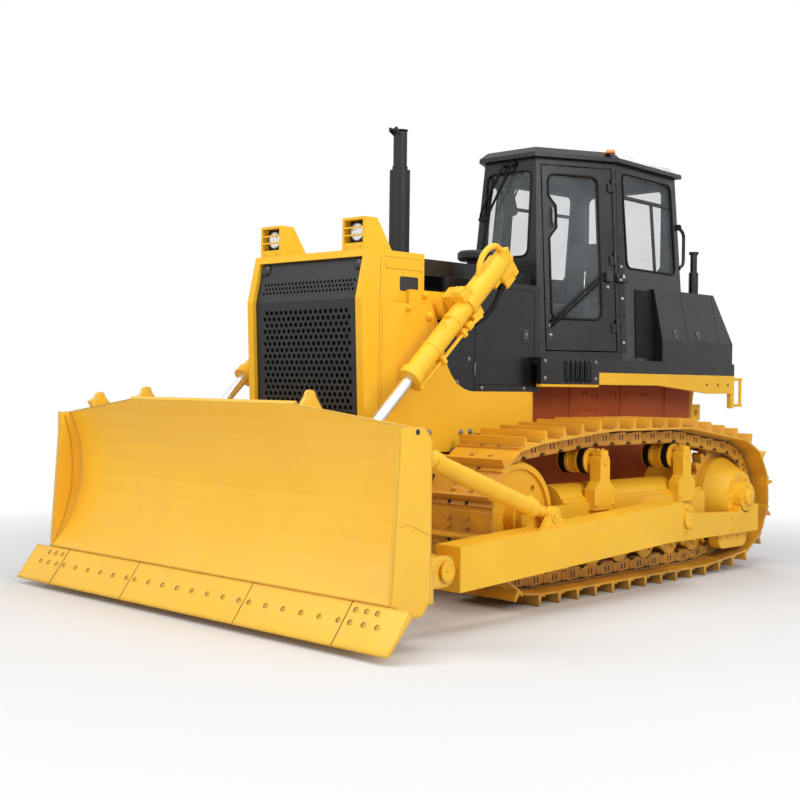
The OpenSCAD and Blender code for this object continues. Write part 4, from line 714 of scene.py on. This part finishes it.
def dress_tracks():
    """Link plates, pins, shoe bolts, shoe tails, and painted shade in the link gaps, slots and bolt holes."""
    pins, pitch = chain_pins()
    links, bolts, shaded_gaps, tails = kits(4)
    for pin, after in zip(pins, pins[1:] + pins[:1]):
        dress_shoe(pin, (after - pin).normalized(), pitch, links, bolts, shaded_gaps, tails)
    links.both().make("chain_links", "track")
    bolts.both().make("shoe_bolts", "track")
    shaded_gaps.both().make("link_gap_shade", "dirt")
    tails.both().make("shoe_tails", "track")


# Rollers, hubs and idlers

TREADS, TREAD_R = (918, 1084), 98
SUPPORT_Y0, SUPPORT_Y1, SUPPORT_Z = 1150, 1238, 1030
DRIVE_FACE, SHIELD_FACE, IDLER_FACE = 1262, 1322, 1200


def dress_carrier(x, treads, caps):
    """Treads, support and bolts of one carrier roller."""
    for y in TREADS:
        profile = [(TREAD_R - 8, -27), (TREAD_R, -26), (TREAD_R, 26), (TREAD_R - 8, 27)]
        treads.lathe((x, y, CARRIER_Z), LEFT, profile, 64)
    caps.box((x - 46, SUPPORT_Y0, SUPPORT_Z - 45), (x + 46, SUPPORT_Y1, SUPPORT_Z), 8)
    for dx in (-30, 30):
        caps.bolt((x + dx, (SUPPORT_Y0 + SUPPORT_Y1) / 2, SUPPORT_Z - 1), UP, 11, 12)
    cap = [(26, 0), (26, 8), (17, 9), (16, 4), (0.5, 4)]
    caps.lathe((x, SUPPORT_Y1 + 1, CARRIER_Z), LEFT, cap, 20)
    for dx in (-105, 105):
        caps.bolt((x + dx, SUPPORT_Y1 + 2, 640), LEFT, 14, 10)


def bolt_ring(kit, y, ring_r, angles, r):
    """Bolts round the sprocket axle, at angles in degrees."""
    for angle in angles:
        turn = math.radians(angle)
        kit.bolt((ring_r * math.cos(turn), y, AXLE_Z + ring_r * math.sin(turn)), LEFT, r, 10)


def dress_hub(caps):
    """Hub cap and bolts of the final drive, and bolts of the guards below it."""
    bolt_ring(caps, HUB_Y, 94, range(0, 360, 45), 11)
    caps.lathe((0, HUB_Y - 1, AXLE_Z), LEFT, [(66, 0), (66, 22), (54, 30), (0.5, 31)], 32)
    bolt_ring(caps, DRIVE_FACE, 164, range(-30, 240, 30), 12)
    for x in (-90, 40, 190, 310):
        caps.bolt((x, DRIVE_FACE, 268), LEFT, 12, 9)
    for x in (90, 230):
        for z in (345, 440):
            caps.bolt((x, SHIELD_FACE, z), LEFT, 13, 10)


def dress_rollers():
    """Carrier rollers, final drive hubs and idler bearing caps."""
    treads, caps = kits(2)
    for x in CARRIERS:
        dress_carrier(x, treads, caps)
    treads.both().make("carrier_treads", "rubber")
    dress_hub(caps)
    for x in (IDLER_X - 70, IDLER_X + 70):
        for z in (545, 635):
            caps.bolt((x, IDLER_FACE, z), LEFT, 13, 11)
    caps.box((IDLER_X - 80, IDLER_FACE - 48, 640), (IDLER_X + 80, IDLER_FACE - 2, 690), 8)
    caps.both().make("roller_caps", "yellow")


# Blade, push arms and braces

# The cutting edge: its foot, its slope, its height along the slope, and how far marks stand off it
EDGE_X, EDGE_Z, EDGE_RISE, EDGE_LEAN, EDGE_H, EDGE_LIFT = 4844, 46, 0.8, 0.6, 288, 2.2
EDGE_OUT = Vector((EDGE_RISE, 0, EDGE_LEAN))
PLOUGH_PITCH, JOINT_Y, BIT_Y = 153, 581, 1430
LOW_ROW, HIGH_ROW = 156, 236
END_HOLE_X, END_HOLE_Z = 4466, 1222
END_SEAM = ((4610, 703), (4525, 713), (4446, 679), (4347, 636))
END_BEAD = ((4652, 300), (4565, 480), (4512, 680), (4500, 860), (4522, 1050), (4575, 1230))
BRACE_FOOT, BRACE_HEAD, BRACE_FACE = (2887, 1430, 640), (4290, 1430, 1124), 1500
BRACE_UP = Vector((-0.32, 0, 0.94))
ARM_PIN, TRUNNION = (3980, 1520, 380), (1250, 1508, 508)
RAM_PIN, ROD_PIN = (3017, 830, 2033), (4200, 830, 953)


def on_edge(y, s, lift):
    """A place on the cutting edge: across it, up its slope and off its face."""
    return Vector((EDGE_X - EDGE_LEAN * s, y, EDGE_Z + EDGE_RISE * s)) + EDGE_OUT * (lift + EDGE_LIFT)


def plough_places():
    """Places of the plough bolts, across the edge and up its slope."""
    places = []
    for side in (-1, 1):
        places += [(side * PLOUGH_PITCH * (k + 0.5), LOW_ROW) for k in range(4)]
        places += [(side * (JOINT_Y + 46 + PLOUGH_PITCH * k), LOW_ROW) for k in range(6)]
        places += [(side * y, HIGH_ROW) for y in (1482, 1566, 1650)]
        places += [(side * y, LOW_ROW) for y in (1484, 1588, 1692)]
    return places


def dress_edge():
    """Plough bolts, each with a crescent of painted shadow beside it, and joints of the cutting edge, and on
    each end of the blade a hole drawn as a disc of painted shade and a seam.
    """
    hole_shades, heads, joints, seams = kits(4)
    for y, s in plough_places():
        # Each plough bolt sits off-centre on a dark disc, leaving a crescent of painted shadow.
        hole_shades.lathe(on_edge(y, s, -1), EDGE_OUT, disc(17, 1.6), 20)
        heads.lathe(on_edge(y + 6, s - 2, -1), EDGE_OUT, [(15, 0), (15, 2.0), (12, 2.6), (0.5, 2.6)], 20)
    for joint_y, half, margin in ((JOINT_Y, 2, 4), (BIT_Y, 2.5, 2)):
        top = EDGE_H - margin
        strip = ((-half, margin), (half, margin), (half, top), (-half, top))
        for y in (-joint_y, joint_y):
            joints.rings([[on_edge(y + a, s, lift) for a, s in strip] for lift in (0.4, -3)])
    for side in (-1, 1):
        # The hole in each end of the blade is a dark disc of painted shade.
        hole_shades.lathe((END_HOLE_X, side * (BLADE_Y - 1), END_HOLE_Z), (0, side, 0), disc(17, 2.2), 24)
        seams.tube([(x, side * BLADE_Y, z) for x, z in END_SEAM], 2.4, 6)
    hole_shades.make("plough_hole_shade", "dirt", "blade_group")
    heads.make("plough_bolts", "blade", "blade_group")
    joints.make("edge_joints", "dirt", "blade_group")
    seams.make("end_seams", "track", "blade_group")


def pin_end(kit, x, face, z, r):
    """The end of a pin, with its collar and lock bolt."""
    collar = [(r + 14, 0), (r + 14, 9), (r + 8, 13), (r, 13), (r - 2, 10), (0.5, 10)]
    kit.lathe((x, face, z), LEFT, collar, 28)
    kit.bolt((x + r * 0.2, face + 10, z + r * 0.2), LEFT, 7, 6)


def dress_linkage():
    """Pins and bolts of the arms, braces and rod eyes, and the braces' collars."""
    pins = Kit()
    for x, _, z in (BRACE_FOOT, BRACE_HEAD):
        pin_end(pins, x, BRACE_FACE, z, 30)
    pin_end(pins, *ARM_PIN, 46)
    x, face, z = TRUNNION
    for dz in (-88, 88):
        pins.bolt((x, face, z + dz), LEFT, 15, 12)
        pins.bolt((x - 60, face, z + dz * 0.75), LEFT, 15, 12)
    x, y, z = ROD_PIN
    for side in (-1, 1):
        pins.lathe((x, y + side * 96, z), (0, side, 0), [(52, -1), (52, 10), (46, 14), (0.5, 14)], 28)
    brace = (Vector(BRACE_HEAD) - Vector(BRACE_FOOT)).normalized()
    for s in (200, 1180):
        collar = Vector(BRACE_FOOT) + brace * s
        pins.lathe(collar - brace * 34, brace, [(56, 0), (66, 4), (66, 64), (56, 68)], 32)
        pins.bolt(collar + BRACE_UP * 64, BRACE_UP, 12, 12)
    pins.both().make("linkage_pins", "yellow", "blade_group")


def dress_blade():
    """Cutting edge, linkage and the weld beads inside the blade's ends."""
    dress_edge()
    dress_linkage()
    beads = Kit()
    for y in (BLADE_Y - 27, 27 - BLADE_Y):
        beads.tube([(x, y, z) for x, z in END_BEAD], 6, 8)
    beads.make("blade_beads", "blade", "blade_group")


# Lift cylinders

PIPE_R, LOOP_R, HOSE_R = 13, 21, 19
RAM_CLAMPS = (190, 470)
PIPE = ((-118, 60, -20), (-98, 64, 60), (-96, 40, 200), (-96, 30, 640), (-92, 20, 720), (-72, 10, 735))
LOOP = ((50, 0, -540), (112, 6, -516), (152, 12, -440), (156, 14, -352), (130, 12, -286), (96, 8, -252),
        (66, 6, -236))
HOSE = ((-152, 0, -394), (-164, 4, -330), (-192, 10, -220), (-184, 16, -110), (-146, 30, 10),
        (-118, 44, 60))


def ram_place():
    """The place of the left lift cylinder: x to its front, y to the left, z along it from its yoke pin."""
    along = (Vector(ROD_PIN) - Vector(RAM_PIN)).normalized()
    side = Vector(LEFT)
    across = along.cross(side).normalized()
    return Matrix.Translation(RAM_PIN) @ Matrix((across, side, along)).transposed().to_4x4()


def ram_pipe(kit):
    """The long pipe with its clamps, bands and end block."""
    kit.tube(PIPE, PIPE_R)
    for z in RAM_CLAMPS:
        kit.box((-122, -20, z - 18), (-60, 66, z + 18), 5)
        kit.bolt((-122, 40, z), AFT, 9, 9)
        kit.lathe((0, 0, z - 16), UP, [(69, 0), (74, 2), (74, 30), (69, 32)], 40, True)
    kit.box((-118, -34, 700), (-62, 36, 752), 6)


def ram_manifold(kit):
    """The valve block at the cylinder's top, with its bent pipe."""
    kit.box((-120, -46, -522), (-58, 46, -380), 8)
    kit.box((-62, -44, -576), (54, 44, -524), 8)
    for x in (-42, 34):
        for y in (-28, 28):
            kit.bolt((x, y, -576), (0, 0, -1), 9, 11)
    kit.box((-172, -42, -570), (-56, 42, -496), 10)
    kit.box((-186, -36, -516), (-120, 36, -392), 8)
    for x, z in ((-172, -545), (-186, -470), (-186, -420)):
        kit.bolt((x, 0, z), AFT, 9, 10)
    kit.tube(LOOP, LOOP_R, 16)
    kit.lathe(LOOP[-1], (-0.75, -0.1, 0.6), [(30, -20), (30, 2)], 20)
    kit.box((-112, -22, -400), (-66, 22, -300), 6)


def ram_collar(kit):
    """Bolts and caps of the collar at the yoke, and the ports below it."""
    for side in (-1, 1):
        for y in (-44, 40):
            for z in (-38, 38):
                kit.bolt((side * 116, y, z), (side, 0, 0), 11, 11)
        kit.lathe((side * 129, 0, 0), (side, 0, 0), [(30, 0), (26, 5), (0.5, 5)], 28)
    kit.box((-112, 20, 92), (-62, 74, 150), 6)
    kit.tube([(96, 30, 250), (112, 60, 262), (112, 96, 268)], 14, 12)


def dress_rams():
    """Pipes, clamps, manifold and hose of the lift cylinders."""
    place = ram_place()
    pipes, hose = kits(2)
    ram_pipe(pipes)
    ram_manifold(pipes)
    ram_collar(pipes)
    hose.tube(HOSE, HOSE_R, 16)
    hose.lathe(HOSE[0], (-0.18, 0, 1), [(25, 0), (25, 34), (20, 38)], 20)
    for name, kit, finish in (("ram_pipes", pipes, "yellow"), ("ram_hose", hose, "rubber")):
        moved(place, kit).make_pair(name, finish, "lift_barrel")


# Hood, grille and head lamps

SEAM_R, GAP_R = 2.6, 2.4
COWL_X0, COWL_X1, COWL_Z0, COWL_Z1 = 1995, 2690, 1490, 2190
# Place and radius of each boss on a lift yoke
YOKE_BOSSES = ((3400, 639, 1995, 20), (3190, 639, 1950, 28), (3045, 604, 2096, 28), (3200, 604, 2096, 24))
LATCH_X, LATCH_Z = 2104, 1864
LAMP_X, LAMP_Y, LAMP_Z = 3644, 416, 2500


def dress_guard():
    """Bosses and bolts on the lift yokes and lamp cases, and seams of the guard."""
    bosses, seams = kits(2)
    for x, z in ((3519, 2267), (3201, 2263)):
        bosses.bolt((x, HOOD_Y, z), LEFT, 9, 8)
    for y in (352, 480):
        bosses.bolt((3700, y, 2400), FORE, 8, 6)
    for x, y, z, r in YOKE_BOSSES:
        boss = [(r, -3), (r, 20), (r * 0.7, 25), (r * 0.7, 34), (0.5, 36)]
        bosses.lathe((x, y, z), LEFT, boss, 24)
    bosses.both().make("bracket_bosses", "yellow")
    front = [(3602, HOOD_Y + 1, 1080), (3602, HOOD_Y + 1, 2300), (3590, HOOD_Y - 1, 2336)]
    seams.tube(front + [(3560, HOOD_Y, 2340), (3200, HOOD_Y, 2340)], SEAM_R, 6)
    seams.tube([(x, HOOD_Y + 0.5, z) for x, z in ((3560, 2290), (3540, 2262), (3180, 2262))], SEAM_R, 6)
    seams.both().make("panel_seams", "track")


def dress_cowl():
    """Gaps, bolts, hinges and latch of the engine panels."""
    gaps, bolts, latch = kits(3)
    for x in (COWL_X0, COWL_X1):
        gaps.tube([(x, PLATE_Y, COWL_Z0 - 42), (x, PLATE_Y, COWL_Z1)], GAP_R, 6)
    for z in (COWL_Z1, COWL_Z0):
        gaps.tube([(COWL_X0, PLATE_Y, z), (COWL_X1, PLATE_Y, z)], GAP_R, 6)
    for x, z in ((2606, 1465), (2115, 1465), (2754, 1669), (2876, 1505)):
        bolts.bolt((x, PLATE_Y, z), LEFT, 10, 8)
    for z in (1600, 2080):
        latch.lathe((COWL_X1, PLATE_Y + 1, z), UP, [(9, -45), (9, 45)], 12)
    outline = soft_outline(-LATCH_X - 28, LATCH_Z - 38, -LATCH_X + 28, LATCH_Z + 36, 8)
    latch.plate(outline, (0, PLATE_Y, 0), AFT, UP, 5)
    bolts.lathe((LATCH_X, PLATE_Y + 5, LATCH_Z), LEFT, [(14, 0), (14, 6), (10, 8), (0.5, 8)], 20)
    gaps.both().make("cowl_gaps", "rubber")
    bolts.both().make("panel_bolts", "zinc")
    latch.both().make("panel_latches", "steel")


def dress_lamps():
    """Backs of the head lamps, and their bowls, which glow white as a painted reflection."""
    backs, bowls = kits(2)
    backs.box((LAMP_X - 12, LAMP_Y - 87, LAMP_Z - 75), (LAMP_X, LAMP_Y + 87, LAMP_Z + 76), 3)
    backs.lathe((LAMP_X, LAMP_Y, LAMP_Z), FORE, [(74, -2), (74, 14), (60, 20)], 40)
    bowl = [(55, 0), (50, 12), (36, 32), (16, 44), (0.5, 48)]
    bowls.lathe((LAMP_X + 20, LAMP_Y, LAMP_Z), AFT, bowl, 40)
    backs.both().make("lamp_backs", "matt")
    bowls.both().make("lamp_bowls", "bulb")


def dress_hood():
    """Guard, engine panels, a bare plate on each side, grille caps and lamps."""
    dress_guard()
    dress_cowl()
    plate, caps = kits(2)
    plate.plate(soft_outline(-3411, 2117, -3230, 2214, 14), (0, HOOD_Y, 0), AFT, UP, 3)
    plate.both().make("bare_plates", "trim")
    cap = [(42, -3), (42, 8), (36, 14), (20, 18), (0.5, 19)]
    caps.lathe((3692, 462, 2282), (0.975, 0, 0.222), cap, 32)
    caps.both().make("grille_caps", "grille")
    dress_lamps()


# Deck, steps and hull

STEP_X0, STEP_X1, STEP_Z0, STEP_Z1 = 1385, 1762, 1512, 1694
STEP_BARS = (1420, 1470, 1532, 1594, 1656, 1718)
RIBS = (1310, 585, -103)
HULL_BOLTS = ((1131, 1432), (1075, 1432), (990, 1400), (933, 1400), (1183, 1295), (1086, 1295),
              (1016, 1294), (931, 1294), (658, 1417), (263, 1418), (185, 1418))


def dress_steps():
    """Backs, flanges, bolts and bars of the steps, and the bolts of the side plates."""
    backs, flanges, bolts, bars = kits(4)
    backs.box((STEP_X0, DECK_Y - 38, STEP_Z0), (STEP_X1, DECK_Y - 32, STEP_Z1), 2)
    flanges.box((1285, DECK_Y - 50, 1478), (2036, DECK_Y - 2, 1509), 4)
    for x in (1332, 1990):
        for z in (1544, 1672):
            bolts.bolt((x, DECK_Y, z), LEFT, 11, 8)
    for x, z in ((2836, 1152), (2734, 1155), (2922, 1025), (3169, 1156)):
        bolts.bolt((x, PLATE_Y, z), LEFT, 16, 14)
    for x in STEP_BARS:
        inner, outer = DECK_Y - 2, DECK_Y + 16
        bars.tube([(x, inner, 1520), (x, outer, 1532), (x, outer, 1668), (x, inner, 1682)], 8, 10)
    backs.both().make("step_backs", "rubber")
    flanges.both().make("step_flanges", "yellow")
    bolts.both().make("step_bolts", "zinc")
    bars.both().make("step_bars", "black")


def dress_deck():
    """Steps, holes in the skirts drawn as discs of painted shade, and ribs and bolts on the hull's sides."""
    dress_steps()
    hole_shades, ribs, bolts = kits(3)
    # The skirt holes are dark discs of painted shade.
    for x in (-361, -551, -727):
        hole_shades.lathe((x, DECK_Y - 1, 1514), LEFT, disc(13, 1.8), 16)
    for x in RIBS:
        ribs.box((x - 14, HULL_Y - 10, 1050), (x + 14, HULL_Y + 9, 1600), 4)
    for x, z in HULL_BOLTS:
        bolts.bolt((x, HULL_Y, z), LEFT, 12, 9)
    hole_shades.both().make("skirt_hole_shade", "dirt")
    ribs.both().make("frame_ribs", "shade")
    bolts.both().make("frame_bolts", "shade")


# Cab

GRAB_Y, GRAB_Z0, GRAB_Z1 = 548, 2528, 2884
# The side boxes: the foot and the head of their leaning outer face
BOX_Z0, BOX_Z1, BOX_HEAD_Y = 1880, 2310, 650


def dress_windows():
    """Rubber round the windows, and the frames of the sliding side panes."""
    rubber, bars = kits(2)
    gasket(rubber, FRONT_WALL, FRONT_WINDOW)
    gasket(rubber, REAR_WALL, REAR_WINDOW)
    for side in (Matrix.Identity(4), Matrix.Scale(-1, 4, LEFT)):
        gasket(rubber, side @ SIDE_WALL, SIDE_WINDOW)
    rubber.make("window_rubber", "rubber")
    for y0, z0, y1, z1 in ((-798, 1335, 38, 1365), (-300, 764, -276, 1340), (12, 764, 38, 1538)):
        bars.box((-30, y0, z0), (-8, y1, z1), 3)
    moved(SIDE_WALL, bars).both().make("window_bars", "trim")


def dress_walls():
    """Grab handles, pillar strips with their bolts, and dark panels of painted shade below the side windows.
    """
    grab, strip, bolts, mat = kits(4)
    bar = [(-172, GRAB_Z0), (-264, GRAB_Z0 + 32), (-264, GRAB_Z1 - 44), (-172, GRAB_Z1)]
    grab.tube([(x, GRAB_Y, z) for x, z in bar], 15, 12)
    for z in (GRAB_Z0, GRAB_Z1):
        grab.lathe((-174, GRAB_Y, z), AFT, disc(27, 8), 20)
    grab.both().make("rear_grabs", "black")
    strip.box((0, -520, 60), (6, -470, 1560), 2)
    for z in (140, 500, 760):
        bolts.bolt((6, -495, z), FORE, 9, 8)
    moved(DOOR_WALL, strip).both().make("pillar_strips", "black")
    moved(DOOR_WALL, bolts).both().make("pillar_bolts", "zinc")
    # A dark panel of painted shade low on each side wall, where the wall lies in shade beside the side box.
    mat.plate([(-740, 24), (-414, 24), (-414, 590), (-690, 590)], (0.5, 0, 0), LEFT, UP, 6)
    moved(SIDE_WALL, mat).both().make("side_wall_shade", "rubber")


def dress_front():
    """Wipers on the windscreen, and the mirror behind it."""
    wiper, mirror = kits(2)
    wiper.box((2, -70, 1560), (30, 70, 1600), 6)
    for y in (-40, 46):
        wiper.tube([(22, y, 1580), (34, y - 12, 1550), (34, y - 210, 1200), (20, y - 226, 1150)], 11, 10)
    wiper.box((22, -276, 1130), (36, -170, 1160), 4)
    wiper.tube([(16, -150, 1470), (16, -235, 860)], 13, 10)
    moved(FRONT_WALL, wiper).make("front_wipers", "rubber")
    mirror.plate(soft_outline(-58, -95, 58, 95, 30), (1380, -85, 2965), (0, 1, 0.28), (0, -0.28, 1), 22)
    mirror.tube([(1384, -70, 2990), (1370, -40, 3060), (1340, 0, 3200), (1330, 0, 3290)], 9, 8)
    mirror.make("cab_mirror", "trim")


def dress_boxes():
    """Latches and panel lines of the side boxes."""
    latches, lines = kits(2)
    lean = Vector((0, BOX_HEAD_Y - DECK_Y, BOX_Z1 - BOX_Z0)).normalized()
    out = Vector((0, lean.z, -lean.y))
    for x in (-215, 150):
        place = Vector((x, DECK_Y, BOX_Z0)) + lean * 60
        latches.plate(soft_outline(-28, -34, 28, 34, 8), place, AFT, lean, 5)
        latches.lathe(place + out * 5, out, [(13, 0), (13, 7), (9, 9), (0.5, 9)], 18)
    latches.both().make("box_latches", "steel")
    for x in (-560, -40):
        head = Vector((x, DECK_Y, BOX_Z0)) + lean * 425
        lines.tube([(x, DECK_Y, BOX_Z0 + 4), head], 2.2, 6)
    lines.tube([(-796, DECK_Y + 0.3, BOX_Z0), (366, DECK_Y + 0.3, BOX_Z0)], 2.2, 6)
    lines.both().make("box_lines", "dirt")


def dress_cab():
    """Windows, walls, windscreen, beacon and side boxes."""
    dress_windows()
    dress_walls()
    dress_front()
    beacon = Kit()
    beacon.lathe((930, 575, 3380), UP, [(40, 0), (40, 8), (34, 22), (0.5, 26)], 24)
    beacon.make("beacon", "amber")
    dress_boxes()


# Doors

def door_outline(y0, z0):
    """The edge of a door's glass, with a bay cut into its front for the handle."""
    loop = soft_outline(y0, z0 + 250, y0 + 450, z0 + 1415, WINDOW_R, 6)
    steps = ((0, 1247), (28, 1205), (66, 1162), (66, 982), (28, 939), (0, 897))
    bay = [(y0 + dy, z0 + dz) for dy, dz in steps]
    cut = next(i for i in range(len(loop)) if loop[i][0] < y0 + 0.5 and loop[i - 1][0] > y0 + 0.1)
    return loop[:cut + 1] + bay + loop[cut + 1:]


def dress_catches():
    """The catches on the pillars that hold the doors open."""
    catch, pin = kits(2)
    catch.box((0, -548, 628), (34, -446, 664), 6)
    catch.box((0, -548, 664), (22, -520, 700), 4)
    pin.lathe((20, -486, 662), UP, [(15, 0), (15, 20), (9, 24), (9, 34), (0.5, 36)], 16)
    pin.lathe((20, -524, 646), FORE, [(11, 12), (11, 22), (7, 25), (0.5, 25)], 16)
    moved(DOOR_WALL, catch).both().make("door_catches", "trim")
    moved(DOOR_WALL, pin).both().make("catch_pins", "zinc")


def dress_doors():
    """Glazing rubber, handle, two-armed wiper and lock on each door, and its catch."""
    rubber, trim, zinc = kits(3)
    y0, z0 = DOOR_Y0 + 50, DOOR_Z0
    rubber.tube([(RUBBER_X, y, z) for y, z in door_outline(y0, z0)], RUBBER_R, 8, close=True)
    trim.plate(soft_outline(y0 + 6, z0 + 985, y0 + 52, z0 + 1160, 16), (0, 0, 0), LEFT, UP, 5)
    handle = ((4, 1002), (26, 1014), (26, 1128), (4, 1142))
    zinc.tube([(x, y0 + 28, z0 + z) for x, z in handle], 8, 10)
    arm = ((4, DOOR_Y0 + 38, 190), (24, DOOR_Y0 + 60, 205), (24, DOOR_Y1 - 120, 585), (12, DOOR_Y1 - 60, 600))
    for dz in (-4, 38):
        rubber.tube([(x, y, z0 + z + dz) for x, y, z in arm], 11, 10)
    for y, z in ((DOOR_Y0 + 38, 190), (DOOR_Y0 + 40, 118), (DOOR_Y1 - 62, 640), (DOOR_Y1 - 60, 520)):
        zinc.bolt((0, y, z0 + z), FORE, 10, 9)
    trim.box((0, DOOR_Y1 - 86, z0 + 560), (30, DOOR_Y1 - 26, z0 + 650), 6)
    for name, kit, finish in (("door_rubber", rubber, "rubber"), ("door_fittings", trim, "trim"),
                              ("door_metal", zinc, "zinc")):
        moved(DOOR_WALL, kit).make_pair(name, finish, "door")
    dress_catches()


# Inside the cab

CONSOLE_Z, CONSOLE_Y, PEDAL_Y = 2230, 360, 90


def dress_inside():
    """Consoles, instrument panel, levers and pedals seen through the glass."""
    trim, levers = kits(2)
    trim.box((1270, -260, CONSOLE_Z), (1470, 260, CONSOLE_Z + 120), 24)
    for y in (CONSOLE_Y, -CONSOLE_Y):
        trim.box((500, y - 60, FLOOR_Z), (1000, y + 60, CONSOLE_Z), 30)
    for y0, y1 in ((300, 415), (-415, -300)):
        trim.box((560, y0, CONSOLE_Z), (880, y1, CONSOLE_Z + 45), 18)
    knob = [(14, 0), (26, 20), (28, 52), (18, 74), (0.5, 80)]
    for y in (-CONSOLE_Y, CONSOLE_Y):
        levers.tube([(940, y, CONSOLE_Z - 5), (960, y, 2330), (945, y, 2440)], 9, 10)
        trim.lathe((945, y, 2430), (-0.1, 0, 1), knob, 20)
    for y in (-PEDAL_Y, PEDAL_Y):
        levers.tube([(1240, y, FLOOR_Z), (1260, y, 1800), (1290, y, 1880)], 10, 10)
        trim.box((1230, y - 50, 1870), (1320, y + 50, 1890), 6)
    trim.make("cab_consoles", "trim")
    levers.make("cab_levers", "rod")


# How square a cushion is, and how tight its padding is, from 0 to 1
SQUARENESS, FILL = 7, 0.7


def cushion(name, low, high, crown, lean=0.0):
    """A padded block with a crowned face, pulled-in sides and two sewn grooves."""
    low, high = Vector(low), Vector(high)
    mid, half = (low + high) / 2, (high - low) / 2
    work = bmesh.new()
    bmesh.ops.create_cube(work, size=2)
    bmesh.ops.subdivide_edges(work, edges=work.edges[:], cuts=13, use_grid_fill=True)
    for v in work.verts:
        size = sum(abs(c) ** SQUARENESS for c in v.co) ** (1 / SQUARENESS)
        x, y, z = (c / size for c in v.co)
        swell = (1 - x * x) * (1 - y * y) * (1 - z * z * 0.2)
        groove = 1 - 0.05 * math.exp(-((abs(y) - 0.55) / 0.05) ** 2)
        p = Vector((x * half.x, y * half.y * (1 - 0.03 * (1 - x * x)), z * half.z * groove))
        p += Vector((crown[0], 0, crown[1])) * swell * (1 if (x * crown[0] + z * crown[1]) > 0 else 0.2)
        p.x += lean * (p.z + half.z)
        v.co = at(*(mid + p))
    mesh = bpy.data.meshes.new(name)
    for face in work.faces:
        face.smooth = True
    work.to_mesh(mesh)
    work.free()
    piece = add_piece(name, mesh, "seat", "chassis")
    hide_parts("seat")


def dress_seat():
    """The seat's pedestal and shells, and its two cushions."""
    pan = Kit()
    pedestal = [(180, 0), (180, 20), (120, 40), (110, 300), (170, 330), (170, 372)]
    pan.lathe((620, 0, FLOOR_Z), UP, pedestal, 32)
    pan.box((392, -232, 2072), (850, 232, 2092), 8)
    pan.box((268, -222, 2090), (300, 222, 2720), 12)
    base = pan.make("seat_pan", "trim")
    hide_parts("seat")
    cushion("seat_cushion", (402, -244, 2094), (852, 244, 2176), (0, 12))
    cushion("seat_back", (302, -236, 2150), (386, 236, 2730), (14, 0), -0.02)


make_camera()
make_world()
make_floor()
for name, settings in LAMPS.items():
    make_lamp(name, *settings)

for finish, names in FINISH.items():
    for name in names.split():
        nodes[name].data.materials.clear()
        nodes[name].data.materials.append(MATS[finish])

dress_tracks()
dress_rollers()
dress_blade()
dress_rams()
dress_hood()
dress_deck()
dress_cab()
dress_doors()
dress_inside()
dress_seat()

bpy.context.scene.view_settings.view_transform = "Standard"
